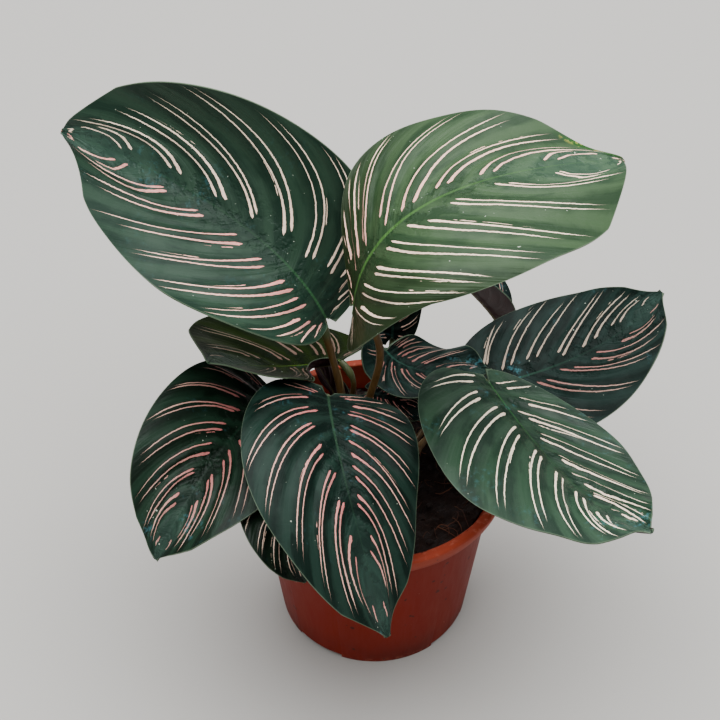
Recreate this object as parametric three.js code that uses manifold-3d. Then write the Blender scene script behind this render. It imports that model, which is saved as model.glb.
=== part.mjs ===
// Potted calathea: striped oval leaves on slim stalks, rooted in a 12 cm nursery pot.
// Millimetres, +Z up. The origin is the middle of the pot's underside, where it stands.
// The front of the plant is -Y, and +X is to its right.

import * as THREE from 'three';
import * as BufferGeometryUtils from 'three/addons/utils/BufferGeometryUtils.js';
import Module from 'manifold-3d';

const wasm = await Module();
wasm.setup();

// ---------- driving dimensions ----------

const GAP = 0.3; // air between touching pieces

// pot
const POT_HEIGHT = 93;
const RIM_RADIUS = 60;
const LIP_WIDTH = 4.5; // flat ring on top of the rim
const BAND_HEIGHT = 9; // rim band that hangs outside the wall
const BAND_LOWER_RADIUS = 58;
const WALL = 1.2;
const FOOT_RADIUS = 42.5;
const SHOULDER_RADIUS = 52.5; // outside of the wall where the band begins
const PAD_RADIUS = 28; // flat middle of the base
const CHANNEL_HEIGHT = 2.5; // ring channel under the base
const CHANNEL_OUTER_RADIUS = 39;
const RIM_THICK = 1.6;
const POT_SEGMENTS = 48;
const NOTCH_COUNT = 4; // gaps in the foot ring
const NOTCH_FIRST = -36.4; // degrees from +X
const NOTCH_SPAN = 32;
const DRAIN_COUNT = 8;
const DRAIN_RADIUS = 3;
const DRAIN_CIRCLE = 34;
const DRAIN_SIDES = 12;

// soil
const SOIL_TOP = 82;
const SOIL_LUMP = 1.4; // how far its surface rises and falls
const SOIL_RINGS = 9;
const HOLE_DEPTH = 24; // how deep each stalk stands
const HOLE_SIDES = 10;

// leaves
const BLADE_THICK = 0.8;
const MIDRIB_DEPTH = 1.2; // how far the midrib stands out below the blade, at its base
const MIDRIB_HALF = 1.6;
const NECK_HALF = 2.7; // half the width where blade meets stalk
const TIP_HALF = 0.5;
const PLEAT = 0.7; // height of the pleats between the side veins
const WAVE_COUNT = 2.5; // waves along each margin
const POINT_LENGTH = 0.12; // share of the length over which the margins draw in to the tip
const POINT_POWER = 0.35; // above 0, they draw in there to a sharper point
const LOBE_END = 0.3; // share of the margin that the base lobe takes
const ORIGIN_POWER = 1.25; // above 1, side veins leave the midrib closer together near the base
const MARGIN_POWER = 2.8; // above 1, they end on the margin closer together near the tip
const VEIN_BEND = [0.3, 0.72]; // where a side vein bends, as shares of its run along and across
const BASE_BEND = 0.6; // the share across for the very first one
const TIP_BULGE = 0.65; // it bends out as if it ended at least at this share of the half width there
const ROW_POWER = 1.35; // above 1, the grid's rows are closer together near the base
const END_ROWS = 3; // grid rows at the two ends, past two for each pleat

// stalks
const STALK_SIDES = 7;
const STALK_STEPS = 10;
const JOINT_LENGTH = 13; // thicker bending joint below the blade
const JOINT_EXTRA = 0.45; // what it adds to the stalk's radius
const LIFT_SHARE = 0.45; // share of its rise that a stalk sets out upright for
const LEAD_SHARE = 0.38; // share of its rise that it arrives in line with the joint for
const LEAST_LIFT = 17; // the lowest stalks set out upright at least so far, to clear the rim

// Each leaf's midrib runs from base over middle to tip. Pairs of values are for its left and right
// half, as seen from the base looking to the tip, save that roll is at the base and at the tip.
//   half: greatest half width.            roll: degrees turned about the midrib, right side down.
//   fold: degrees that a half rises.      curl: degrees that it bends down towards its margin.
//   lobe: how far its base reaches back.  wave: height of the waves along its margin.
//   full, blunt: roundness of the outline near the base and near the tip; smaller is rounder.
//   pleats, columns: ridges between the side veins in each half, and grid columns across it.
//   foot: where the stalk enters the soil. stalk: its radius. tilt: degrees that its joint stands
//   below the blade's own line.
const LEAVES = {
  upper_left: {
    base: [-21, 18, 161], middle: [-60, 40, 198], tip: [-134, 89, 203],
    half: [46, 51], roll: [-2, -53], fold: [4, 16], curl: [-27, -38], lobe: [3, 6],
    wave: [2.2, 2.2], full: [0.58, 0.52], blunt: [0.74, 0.61], pleats: 8, columns: 6,
    foot: [-13, 15], stalk: 1.6, tilt: 12,
  },
  upper_right: {
    base: [-9, -3, 189], middle: [21, 11, 232], tip: [101, 49, 221],
    half: [48, 51], roll: [-16, 6], fold: [-1, 12], curl: [-4, 40], lobe: [3, 19],
    wave: [2.2, 2.2], full: [0.77, 0.7], blunt: [0.72, 0.52], pleats: 8, columns: 6,
    foot: [-6, 13], stalk: 1.6, tilt: 34,
  },
  lower_left: {
    base: [-45, 24, 106], middle: [-69, -22, 114], tip: [-92, -55, 91],
    half: [37, 36], roll: [-8, -6], fold: [23, 26], curl: [12, -4], lobe: [6, 2],
    wave: [1.7, 1.7], full: [0.5, 0.46], blunt: [0.83, 0.76], pleats: 8, columns: 5,
    foot: [-20, 3], stalk: 1.4, tilt: 50,
  },
  front: {
    base: [-20, -1, 133], middle: [-12, -47, 129], tip: [5, -83, 75],
    half: [34, 41], roll: [-15, -6], fold: [12, 15], curl: [14, 33], lobe: [2, 6],
    wave: [1.7, 1.7], full: [0.42, 0.46], blunt: [0.77, 0.76], pleats: 8, columns: 5,
    foot: [-12, -7], stalk: 1.4, tilt: 62,
  },
  right_front: {
    base: [48.7, 11.4, 127.8], middle: [82, -48.1, 129.1], tip: [108, -79.9, 140.6],
    half: [36.9, 52.5], roll: [-30.2, -4.5], fold: [0, 26], curl: [-12.3, 61.8], lobe: [5.6, 2.4],
    wave: [1.7, 1.7], full: [0.53, 0.21], blunt: [1.1, 0.64], pleats: 8, columns: 5,
    foot: [10, -11], stalk: 1.4, tilt: 70,
  },
  right_back: {
    base: [41, 23, 111], middle: [95, 43, 115], tip: [127, 62, 133],
    half: [34, 34], roll: [10, 1], fold: [10, 7], curl: [14, 18], lobe: [3, 6],
    wave: [1, 1], full: [0.47, 0.38], blunt: [0.77, 0.85], pleats: 7, columns: 5,
    foot: [12, 0], stalk: 1.3, tilt: 36,
  },
  inner_left: {
    base: [-16, 25, 128], middle: [-40, 25, 124], tip: [-69, -1, 154],
    half: [30, 37], roll: [23, -5], fold: [24, 3], curl: [9, -8], lobe: [2, 6],
    wave: [0.8, 0.8], full: [0.8, 0.61], blunt: [0.2, 0.49], pleats: 6, columns: 5,
    foot: [-13, 27], stalk: 1.2, tilt: 50,
  },
  low_front: {
    base: [-39, -16, 103], middle: [-34, -49, 108], tip: [-29, -62, 85],
    half: [22, 22], roll: [-2, 0], fold: [10, 10], curl: [12, 10], lobe: [5, 5],
    wave: [0.6, 0.6], full: [0.53, 0.53], blunt: [0.78, 0.78], pleats: 6, columns: 4,
    foot: [-20, -11], stalk: 1.1, tilt: 50,
  },
  inner_right: {
    base: [5, 37, 121], middle: [21, 29, 117], tip: [50, 21, 125],
    half: [24, 21], roll: [-14, 0], fold: [10, 10], curl: [32, 17], lobe: [1, 17],
    wave: [2.5, 0.8], full: [0.51, 0.51], blunt: [0.69, 0.86], pleats: 6, columns: 5,
    foot: [3, 30], stalk: 1.1, tilt: 66,
  },
  low_right: {
    base: [-2, 26, 106], middle: [10, 20, 107], tip: [22, 14, 102],
    half: [10, 10], roll: [0, 0], fold: [10, 10], curl: [14, 14], lobe: [4, 4],
    wave: [0.6, 0.6], full: [0.52, 0.52], blunt: [0.8, 0.8], pleats: 6, columns: 4,
    foot: [-6, 22], stalk: 1.1, tilt: 60,
  },
  back_middle: {
    base: [8, 60, 106], middle: [9, 68, 130], tip: [10, 76, 156],
    half: [13, 13], roll: [0, 0], fold: [12, 12], curl: [10, 10], lobe: [4, 4],
    wave: [0.6, 0.6], full: [0.52, 0.52], blunt: [0.8, 0.8], pleats: 6, columns: 4,
    foot: [6, 30], stalk: 1.1, tilt: 20,
  },
  back_right: {
    base: [57, 76, 102], middle: [43, 73, 124], tip: [27, 65, 146],
    half: [17, 17], roll: [-35, -35], fold: [85, 15], curl: [5, 10], lobe: [4, 4],
    wave: [0.6, 0.6], full: [0.52, 0.52], blunt: [0.8, 0.8], pleats: 6, columns: 4,
    foot: [14, 22], stalk: 1.1, tilt: 40,
  },
  back_left: {
    base: [-14, 33, 91], middle: [-21, 39, 103], tip: [-29, 45, 114],
    half: [12, 12], roll: [75, 80], fold: [10, 10], curl: [10, 10], lobe: [3, 3],
    wave: [0.6, 0.6], full: [0.52, 0.52], blunt: [0.8, 0.8], pleats: 6, columns: 4,
    foot: [-17, 27], stalk: 1.1, tilt: 20,
  },
};

// ---------- helpers ----------

const UP = new THREE.Vector3(0, 0, 1);
const vector = ([x, y, z]) => new THREE.Vector3(x, y, z);
const radians = THREE.MathUtils.degToRad;
const lerp = THREE.MathUtils.lerp;

function toSolid(geometry) {
  const bare = geometry.clone();
  bare.deleteAttribute('normal');
  bare.deleteAttribute('uv');
  const merged = BufferGeometryUtils.mergeVertices(bare);
  return new wasm.Manifold(new wasm.Mesh({
    numProp: 3,
    vertProperties: new Float32Array(merged.attributes.position.array),
    triVerts: new Uint32Array(merged.index.array),
  }));
}

function toGeometry(solid) {
  const mesh = solid.getMesh();
  return meshFrom(Array.from(mesh.vertProperties), Array.from(mesh.triVerts));
}

function meshFrom(coordinates, triangles) {
  const geometry = new THREE.BufferGeometry();
  geometry.setAttribute('position', new THREE.Float32BufferAttribute(coordinates, 3));
  geometry.setIndex(triangles);
  geometry.computeVertexNormals();
  return geometry;
}

// LatheGeometry turns about Y, so its axis is laid onto Z.
function turned(profile, segments) {
  const geometry = new THREE.LatheGeometry(profile.map(([r, z]) => new THREE.Vector2(r, z)), segments);
  return geometry.rotateX(Math.PI / 2);
}

// ---------- pot ----------

const bandFoot = POT_HEIGHT - BAND_HEIGHT;
const potFloor = CHANNEL_HEIGHT + WALL;

const wallRadius = (z) => lerp(FOOT_RADIUS, SHOULDER_RADIUS, z / bandFoot);

// One moulded wall: base with a flat middle and a ring channel, tapered side, and a rim that folds
// out and down as a band, closed back along the inside.
function potGeometry() {
  const lipInner = RIM_RADIUS - LIP_WIDTH;
  const body = toSolid(turned([
    [0, 0],
    [PAD_RADIUS, 0],
    [PAD_RADIUS + 1.5, CHANNEL_HEIGHT],
    [CHANNEL_OUTER_RADIUS, CHANNEL_HEIGHT],
    [CHANNEL_OUTER_RADIUS + 1, 0],
    [FOOT_RADIUS - 0.4, 0],
    [FOOT_RADIUS, 0.5],
    [SHOULDER_RADIUS, bandFoot],
    [lipInner + 0.4, POT_HEIGHT - RIM_THICK],
    [RIM_RADIUS - 2.2, POT_HEIGHT - RIM_THICK],
    [BAND_LOWER_RADIUS - WALL, bandFoot],
    [BAND_LOWER_RADIUS, bandFoot],
    [RIM_RADIUS, POT_HEIGHT - 1.2],
    [RIM_RADIUS - 0.4, POT_HEIGHT - 0.3],
    [RIM_RADIUS - 1.2, POT_HEIGHT],
    [lipInner + 0.8, POT_HEIGHT],
    [lipInner, POT_HEIGHT - 0.8],
    [SHOULDER_RADIUS - WALL, bandFoot],
    [wallRadius(potFloor) - WALL, potFloor],
    [PAD_RADIUS, potFloor],
    [PAD_RADIUS - 1.5, WALL],
    [0, WALL],
  ], POT_SEGMENTS));
  let solid = body;
  for (let i = 0; i < NOTCH_COUNT; i++) {
    const middle = radians(NOTCH_FIRST + (360 * i) / NOTCH_COUNT);
    const half = radians(NOTCH_SPAN / 2);
    const sector = new THREE.Shape();
    sector.absarc(0, 0, FOOT_RADIUS + 2, middle - half, middle + half, false);
    sector.absarc(0, 0, CHANNEL_OUTER_RADIUS - 0.5, middle + half, middle - half, true);
    const options = { depth: CHANNEL_HEIGHT + 1, bevelEnabled: false, curveSegments: 6 };
    const notch = new THREE.ExtrudeGeometry(sector, options).translate(0, 0, -1);
    solid = solid.subtract(toSolid(notch));
  }
  for (let i = 0; i < DRAIN_COUNT; i++) {
    const angle = (2 * Math.PI * i) / DRAIN_COUNT;
    const drain = new THREE.CylinderGeometry(DRAIN_RADIUS, DRAIN_RADIUS, potFloor + 2, DRAIN_SIDES);
    drain.rotateX(Math.PI / 2);
    drain.translate(DRAIN_CIRCLE * Math.cos(angle), DRAIN_CIRCLE * Math.sin(angle), potFloor / 2);
    solid = solid.subtract(toSolid(drain));
  }
  return toGeometry(solid);
}

// ---------- soil ----------

// Its lumps are long swells with shorter ones across them.
function soilHeight(x, y) {
  const swell = 0.6 * Math.sin(0.17 * x + 1.1) * Math.sin(0.21 * y + 0.4);
  const lump = 0.4 * Math.sin(0.43 * x - 0.37 * y) + 0.3 * Math.sin(0.61 * y + 0.29 * x);
  return SOIL_TOP + SOIL_LUMP * (swell + lump);
}

function soilGeometry() {
  const soilFloor = potFloor + GAP;
  const outer = wallRadius(SOIL_TOP - SOIL_LUMP) - WALL - GAP;
  const lower = wallRadius(soilFloor) - WALL - GAP;
  const profile = [[0, soilFloor], [lower, soilFloor]];
  for (let i = SOIL_RINGS; i >= 0; i--) profile.push([(outer * i) / SOIL_RINGS, SOIL_TOP]);
  const geometry = turned(profile, POT_SEGMENTS);
  const position = geometry.attributes.position;
  for (let i = 0; i < position.count; i++) {
    if (position.getZ(i) < SOIL_TOP - 1) continue;
    position.setZ(i, soilHeight(position.getX(i), position.getY(i)));
  }
  let solid = toSolid(geometry);
  for (const leaf of Object.values(LEAVES)) {
    const radius = (leaf.stalk + GAP) / Math.cos(Math.PI / HOLE_SIDES);
    const length = HOLE_DEPTH + GAP + 5 * SOIL_LUMP;
    const hole = new THREE.CylinderGeometry(radius, radius, length, HOLE_SIDES);
    hole.rotateX(Math.PI / 2);
    hole.translate(leaf.foot[0], leaf.foot[1], SOIL_TOP - HOLE_DEPTH - GAP + length / 2);
    solid = solid.subtract(toSolid(hole));
  }
  return toGeometry(solid);
}

// ---------- leaves ----------

// The midrib is one arched curve. Each place on it has a direction along it, one across it towards
// the leaf's right, and a normal out of its upper face.
function midribOf(leaf) {
  const base = vector(leaf.base);
  const tip = vector(leaf.tip);
  const bend = vector(leaf.middle).multiplyScalar(2).sub(base.clone().add(tip).multiplyScalar(0.5));
  const curve = new THREE.QuadraticBezierCurve3(base, bend, tip);
  const length = curve.getLength();
  const start = curve.getTangent(0).multiplyScalar(2 * bend.distanceTo(base));
  return {
    length,
    at(share) {
      const inside = Math.max(share, 0);
      const point = curve.getPoint(inside).addScaledVector(start, Math.min(share, 0));
      const along = curve.getTangent(inside);
      const level = along.clone().cross(UP).normalize();
      const above = level.clone().cross(along);
      const roll = radians(lerp(leaf.roll[0], leaf.roll[1], inside));
      const across = level.clone().multiplyScalar(Math.cos(roll)).addScaledVector(above, -Math.sin(roll));
      const normal = above.clone().multiplyScalar(Math.cos(roll)).addScaledVector(level, Math.sin(roll));
      return { point, along, across, normal };
    },
  };
}

// Half width of the oval outline at a share of the leaf's length.
function halfWidth(leaf, side, share) {
  const full = leaf.full[side];
  const blunt = leaf.blunt[side];
  const widest = full / (full + blunt);
  const point = Math.min((1 - share) / POINT_LENGTH, 1) ** POINT_POWER;
  const oval = (share / widest) ** full * ((1 - share) / (1 - widest)) ** blunt * point;
  return leaf.half[side] * oval + lerp(NECK_HALF, TIP_HALF, share) * (1 - oval);
}

// A point on one half of the blade. vein runs 0 to 1 from base to tip, reach 0 to 1 from the midrib
// to the margin. Side veins leave the midrib, sweep towards the tip and end on the margin.
function bladePoint(leaf, midrib, side, vein, reach, pleat) {
  const origin = midrib.length * vein ** ORIGIN_POWER;
  const share = 1 - (1 - vein) ** MARGIN_POWER;
  const past = Math.min(share / LOBE_END, 1);
  const endX = midrib.length * share - leaf.lobe[side] * Math.cos((Math.PI / 2) * past);
  const endY = halfWidth(leaf, side, share);
  const bendX = lerp(origin, endX, VEIN_BEND[0]);
  const bulge = TIP_BULGE * halfWidth(leaf, side, Math.max(bendX / midrib.length, 0));
  const bendY = lerp(BASE_BEND, VEIN_BEND[1], past) * Math.max(endY, bulge);
  const rest = 1 - reach;
  const x = rest * rest * origin + 2 * rest * reach * bendX + reach * reach * endX;
  const y = 2 * rest * reach * bendY + reach * reach * endY;
  const { point, across, normal } = midrib.at(x / midrib.length);
  const fold = radians(leaf.fold[side]);
  const turn = radians(leaf.curl[side] || 0.01) / leaf.half[side];
  const slope = fold - turn * y;
  const outward = (Math.sin(fold) - Math.sin(slope)) / turn;
  const rise = (Math.cos(slope) - Math.cos(fold)) / turn;
  const phase = WAVE_COUNT * vein + 0.3 * side + 0.1;
  const fade = Math.min(2.2 * (1 - vein), 1);
  const wave = leaf.wave[side] * fade * reach ** 2 * Math.sin(2 * Math.PI * phase);
  const ridge = pleat * fade * PLEAT * Math.sin(Math.PI * Math.min(reach * 1.15, 1));
  const sign = side === 0 ? -1 : 1;
  const top = point.clone()
    .addScaledVector(across, sign * outward)
    .addScaledVector(normal, rise + wave + ridge);
  const depth = BLADE_THICK + MIDRIB_DEPTH * Math.max(1 - y / MIDRIB_HALF, 0) * (1 - 0.8 * vein);
  const down = normal.clone().negate();
  if (reach > 0) down.multiplyScalar(Math.cos(slope)).addScaledVector(across, sign * Math.sin(slope));
  return [top, top.clone().addScaledVector(down, depth)];
}

// Both faces share one grid, so they are split into triangles alike.
function bladeGeometry(leaf) {
  const midrib = midribOf(leaf);
  const rows = 2 * leaf.pleats + END_ROWS;
  const columns = leaf.columns;
  const width = 2 * columns + 1;
  const upper = [];
  const lower = [];
  for (let i = 0; i <= rows; i++) {
    const vein = (i / rows) ** ROW_POWER;
    const inside = i > 1 && i < rows - 1;
    for (let j = -columns; j <= columns; j++) {
      const side = j < 0 ? 0 : 1;
      const pleat = inside ? (i % 2) * 2 - 1 : 0;
      const [top, bottom] = bladePoint(leaf, midrib, side, vein, Math.abs(j) / columns, pleat);
      upper.push(top);
      lower.push(bottom);
    }
  }
  const triangles = [];
  const offset = upper.length;
  for (let i = 0; i < rows; i++) {
    for (let j = 0; j < width - 1; j++) {
      const a = i * width + j;
      const b = a + 1;
      const c = a + width;
      const d = c + 1;
      const corners = j < columns ? [a, b, c, b, d, c] : [a, b, d, a, d, c];
      triangles.push(...corners);
      const [p, q, r, s, t, u] = corners.map((n) => n + offset);
      triangles.push(p, r, q, s, u, t);
    }
  }
  const wall = (a, b) => triangles.push(a, offset + a, b, b, offset + a, offset + b);
  const last = rows * width;
  for (let j = 0; j < width - 1; j++) {
    wall(j, j + 1);
    wall(last + j + 1, last + j);
  }
  for (let i = 0; i < rows; i++) {
    wall((i + 1) * width, i * width);
    wall(i * width + width - 1, (i + 1) * width + width - 1);
  }
  return meshFrom([...upper, ...lower].flatMap((p) => p.toArray()), triangles);
}

// ---------- stalks ----------

// A stalk stands straight in its hole, then curves up and over to the base of its blade, where it
// thickens into the joint.
function stalkGeometry(leaf) {
  const { point: base, along, normal } = midribOf(leaf).at(0);
  const tilt = radians(leaf.tilt);
  const arrival = along.clone().multiplyScalar(Math.cos(tilt));
  arrival.addScaledVector(normal, Math.sin(tilt));
  const jointRadius = leaf.stalk + JOINT_EXTRA;
  const setBack = GAP + jointRadius * Math.sin(tilt);
  const drop = BLADE_THICK + 2 * GAP + jointRadius * Math.cos(tilt);
  const foot = new THREE.Vector3(leaf.foot[0], leaf.foot[1], SOIL_TOP - HOLE_DEPTH);
  const ground = foot.clone().setZ(SOIL_TOP + 2);
  const end = base.clone().addScaledVector(along, -setBack).addScaledVector(normal, -drop);
  const rise = end.z - ground.z;
  const lift = ground.clone().addScaledVector(UP, Math.max(LIFT_SHARE * rise, LEAST_LIFT));
  const lead = end.clone().addScaledVector(arrival, -LEAD_SHARE * rise);
  const curve = new THREE.CubicBezierCurve3(ground, lift, lead, end);
  const points = [foot, ...curve.getPoints(STALK_STEPS)];
  const length = curve.getLength();
  const sides = STALK_SIDES;
  const vertices = [];
  let across = new THREE.Vector3(1, 0, 0);
  points.forEach((point, i) => {
    const before = points[Math.max(i - 1, 0)];
    const after = points[Math.min(i + 1, points.length - 1)];
    const chord = after.clone().sub(before).normalize();
    const direction = i === points.length - 1 ? arrival : chord;
    across = across.clone().addScaledVector(direction, -across.dot(direction)).normalize();
    const other = direction.clone().cross(across);
    const left = length * (1 - Math.max(i - 1, 0) / STALK_STEPS);
    const joint = THREE.MathUtils.smoothstep(JOINT_LENGTH - left, 0, JOINT_LENGTH * 0.4);
    const radius = leaf.stalk + JOINT_EXTRA * joint;
    for (let k = 0; k < sides; k++) {
      const angle = (2 * Math.PI * k) / sides;
      const spoke = across.clone().multiplyScalar(Math.cos(angle));
      spoke.addScaledVector(other, Math.sin(angle));
      vertices.push(point.clone().addScaledVector(spoke, radius));
    }
  });
  const triangles = [];
  const rings = points.length;
  for (let i = 0; i < rings - 1; i++) {
    for (let k = 0; k < sides; k++) {
      const a = i * sides + k;
      const b = i * sides + ((k + 1) % sides);
      triangles.push(a, b, b + sides, a, b + sides, a + sides);
    }
  }
  const top = (rings - 1) * sides;
  for (let k = 1; k < sides - 1; k++) {
    triangles.push(0, k + 1, k);
    triangles.push(top, top + k, top + k + 1);
  }
  return meshFrom(vertices.flatMap((p) => p.toArray()), triangles);
}

// ---------- materials and assembly ----------

const plastic = new THREE.MeshStandardMaterial({ color: '#83321f', roughness: 0.5, metalness: 0 });
const earth = new THREE.MeshStandardMaterial({ color: '#1a0f0b', roughness: 1, metalness: 0 });
const blade = new THREE.MeshStandardMaterial({ color: '#2f4a3d', roughness: 0.45, metalness: 0 });
const stem = new THREE.MeshStandardMaterial({ color: '#3a2f1c', roughness: 0.5, metalness: 0 });

const plant = new THREE.Group();

function addPiece(name, geometry, material) {
  const mesh = new THREE.Mesh(geometry, material);
  mesh.name = name;
  plant.add(mesh);
}

addPiece('pot', potGeometry(), plastic);
addPiece('soil', soilGeometry(), earth);
for (const [name, leaf] of Object.entries(LEAVES)) {
  addPiece(`leaf_${name}`, bladeGeometry(leaf), blade);
  addPiece(`stalk_${name}`, stalkGeometry(leaf), stem);
}

export default plant;
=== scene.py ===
# %% [markdown]
# # A potted calathea
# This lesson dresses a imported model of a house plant: thirteen striped leaves on slim stalks in a
# terracotta-coloured nursery pot. The frame brings the solids, in metres, with +Z up. Every piece
# made here keeps the place and the form of the solid that it stands for, and adds what a camera
# sees: smooth pleats, veins, stripes, soil crumbs and moulded plastic.

# %% The frame
import functools
import math

import bpy
import numpy as np
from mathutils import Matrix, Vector, noise


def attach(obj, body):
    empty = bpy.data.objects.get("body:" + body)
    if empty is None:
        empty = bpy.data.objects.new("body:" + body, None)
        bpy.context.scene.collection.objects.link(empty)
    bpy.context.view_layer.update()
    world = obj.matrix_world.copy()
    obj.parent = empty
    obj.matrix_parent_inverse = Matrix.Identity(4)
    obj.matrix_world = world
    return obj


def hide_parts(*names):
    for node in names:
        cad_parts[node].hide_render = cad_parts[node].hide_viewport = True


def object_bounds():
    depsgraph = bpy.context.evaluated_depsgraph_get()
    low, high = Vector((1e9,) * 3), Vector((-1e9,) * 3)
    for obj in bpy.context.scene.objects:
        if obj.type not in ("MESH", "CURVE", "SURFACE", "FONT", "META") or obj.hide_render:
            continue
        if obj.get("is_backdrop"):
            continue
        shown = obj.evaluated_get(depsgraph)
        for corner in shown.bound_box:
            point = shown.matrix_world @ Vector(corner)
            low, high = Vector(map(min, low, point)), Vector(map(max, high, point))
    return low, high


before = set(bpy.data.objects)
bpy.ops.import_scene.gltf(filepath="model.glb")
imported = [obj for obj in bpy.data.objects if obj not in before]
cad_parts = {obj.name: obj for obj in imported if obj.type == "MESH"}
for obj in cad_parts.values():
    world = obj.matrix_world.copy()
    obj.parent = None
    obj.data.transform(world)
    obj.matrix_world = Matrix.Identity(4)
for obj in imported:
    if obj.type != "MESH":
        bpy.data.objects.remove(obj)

cad_low, cad_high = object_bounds()
print("frame holds", len(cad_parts), "nodes,", [round(v, 3) for v in cad_high - cad_low], "m")

# %% [markdown]
# ## Camera
# The photograph looks down on the plant at about 46 degrees through a long lens, so the pot's
# upright sides draw together only a little. The camera is made first, because everything else is
# judged through it. A lens is given in millimetres on a 36 mm sensor, the same across and upwards
# in a square picture.

# %% Camera
MM = 0.001
CAMERA_PLACE = (-0.0065, -0.5891, 0.7718)  # metres
CAMERA_PITCH = 46.35  # degrees below level
CAMERA_LENS = 103  # millimetres

bpy.ops.object.select_all(action="DESELECT")
bpy.ops.object.camera_add(location=CAMERA_PLACE, rotation=(math.radians(90 - CAMERA_PITCH), 0, 0))
camera = bpy.context.object
camera.data.lens = CAMERA_LENS
bpy.context.scene.camera = camera
print("camera", [round(v, 3) for v in camera.location], "lens", camera.data.lens)

# %% [markdown]
# ## Helpers for materials
# Colours are picked as sRGB hex values, as in any paint program, but shaders work with linear
# light, so one function turns the one into the other. One more adds a node of any kind, with its
# settings and its inputs: an input that is another node's socket is linked, and any other value is
# set. Inputs are given in their order, or by number or name. `new_material` binds it to the
# material's own tree. A Mix node has a set of inputs for each data type, and those for colours
# are numbers 6 and 7.

# %% Colour and node helpers
SOFT_ENDS = {"interpolation_type": "SMOOTHSTEP"}  # a Map Range that eases in and out
COLOURS = {"data_type": "RGBA"}  # a Mix of two colours
FLAT = {"noise_dimensions": "2D"}  # a noise on two rulers of a leaf


def linear(hex_colour):
    """Linear RGBA of an sRGB colour such as '#7f3020'."""
    parts = [int(hex_colour[i:i + 2], 16) / 255 for i in (1, 3, 5)]
    return tuple(c / 12.92 if c <= 0.04045 else ((c + 0.055) / 1.055) ** 2.4 for c in parts) + (1,)


def add(tree, kind, inputs=(), output=None, **settings):
    """Adds one shader node and returns its first output in use, or the one asked for."""
    made = tree.nodes.new("ShaderNode" + kind)
    for name, value in settings.items():
        setattr(made, name, value)
    for key, value in inputs.items() if isinstance(inputs, dict) else enumerate(inputs):
        if isinstance(value, bpy.types.NodeSocket):
            tree.links.new(value, made.inputs[key])
        else:
            made.inputs[key].default_value = value
    in_use = (socket for socket in made.outputs if socket.enabled)
    return made.outputs[output] if output else next(in_use, None)


def new_material(name):
    """An empty material, and the function above bound to its node tree."""
    material = bpy.data.materials.new(name)
    material.use_nodes = True
    material.node_tree.nodes.clear()
    return material, functools.partial(add, material.node_tree)


print("helpers ready; middle grey is", round(linear("#808080")[0], 3), "in linear light")

# %% [markdown]
# ## The leaves
# A calathea blade is one thin sheet. Side veins leave the midrib, sweep forward and meet the
# margin, and the sheet rises into a soft pleat between each two of them. It could be sculpted, but
# thirteen sculpted leaves would never match their solids. So each blade starts as a flat grid,
# whose rows stand for the side veins and whose columns step out from the midrib, and a formula
# carries every grid point to its place on the arched, folded, waved sheet. The same few values as
# in the solids drive it: three points on the midrib, the widths, the roll, fold and curl.
#
# Pairs of values are for the left and right half, seen from base to tip; roll is at base and tip.
# Lengths are in millimetres and angles in degrees. After the form come the foot, radius and tilt
# of the stalk, and then the looks: the green and its dark shade, how pink the lines are, the
# midrib's colour and the share of the leaf that it lasts for, how much the wax reflects, how strong
# the painted blue-green glints are, how strong the lines are, and how olive the green is.
# `tip_lines` is the number of lines in the last pair at the tip, `rib_half` the midrib's half
# width, and `glow` how olive the base is. The last says that the far edge is torn.

# %% Leaf values
BLADE_THICK = 0.6  # 0.8 in the solids
NECK_HALF = 2.7  # half the width where blade meets stalk
TIP_HALF = 0.5
PLEAT = 0.7  # height of the pleats
WAVE_COUNT = 2.5  # waves along each margin
POINT_LENGTH = 0.12  # share of the length over which the margins draw in to the tip
POINT_POWER = 0.35  # above 0, they draw in there to a sharper point
LOBE_END = 0.3  # share of the margin that the base lobe takes
ORIGIN_POWER = 1.25  # above 1, side veins leave the midrib closer together near the base
MARGIN_POWER = 2.8  # above 1, they end on the margin closer together near the tip
VEIN_BEND = (0.3, 0.72)  # where a side vein bends, as shares of its run along and across
BASE_BEND = 0.6  # the share across for the very first one
TIP_BULGE = 0.65  # it bends out as if it ended at least at this share of the half width there
ROW_POWER = 1.35  # above 1, the grid's rows are closer together near the base
END_ROWS = 3  # rows at the two ends, past two for each pleat


def leaf(base, middle, tip, half, roll, fold, curl, lobe, wave, full, blunt, pleats, foot, stalk,
         tilt, green, dark, blush, rib, rib_end, wax=0.15, film=0.2, ink=0.9, olive=0.0,
         tip_lines=1, rib_half=0.6, glow=0.0, torn=False):
    """The values of one leaf: its form first, then its stalk, then its colours."""
    return dict(locals())


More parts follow.
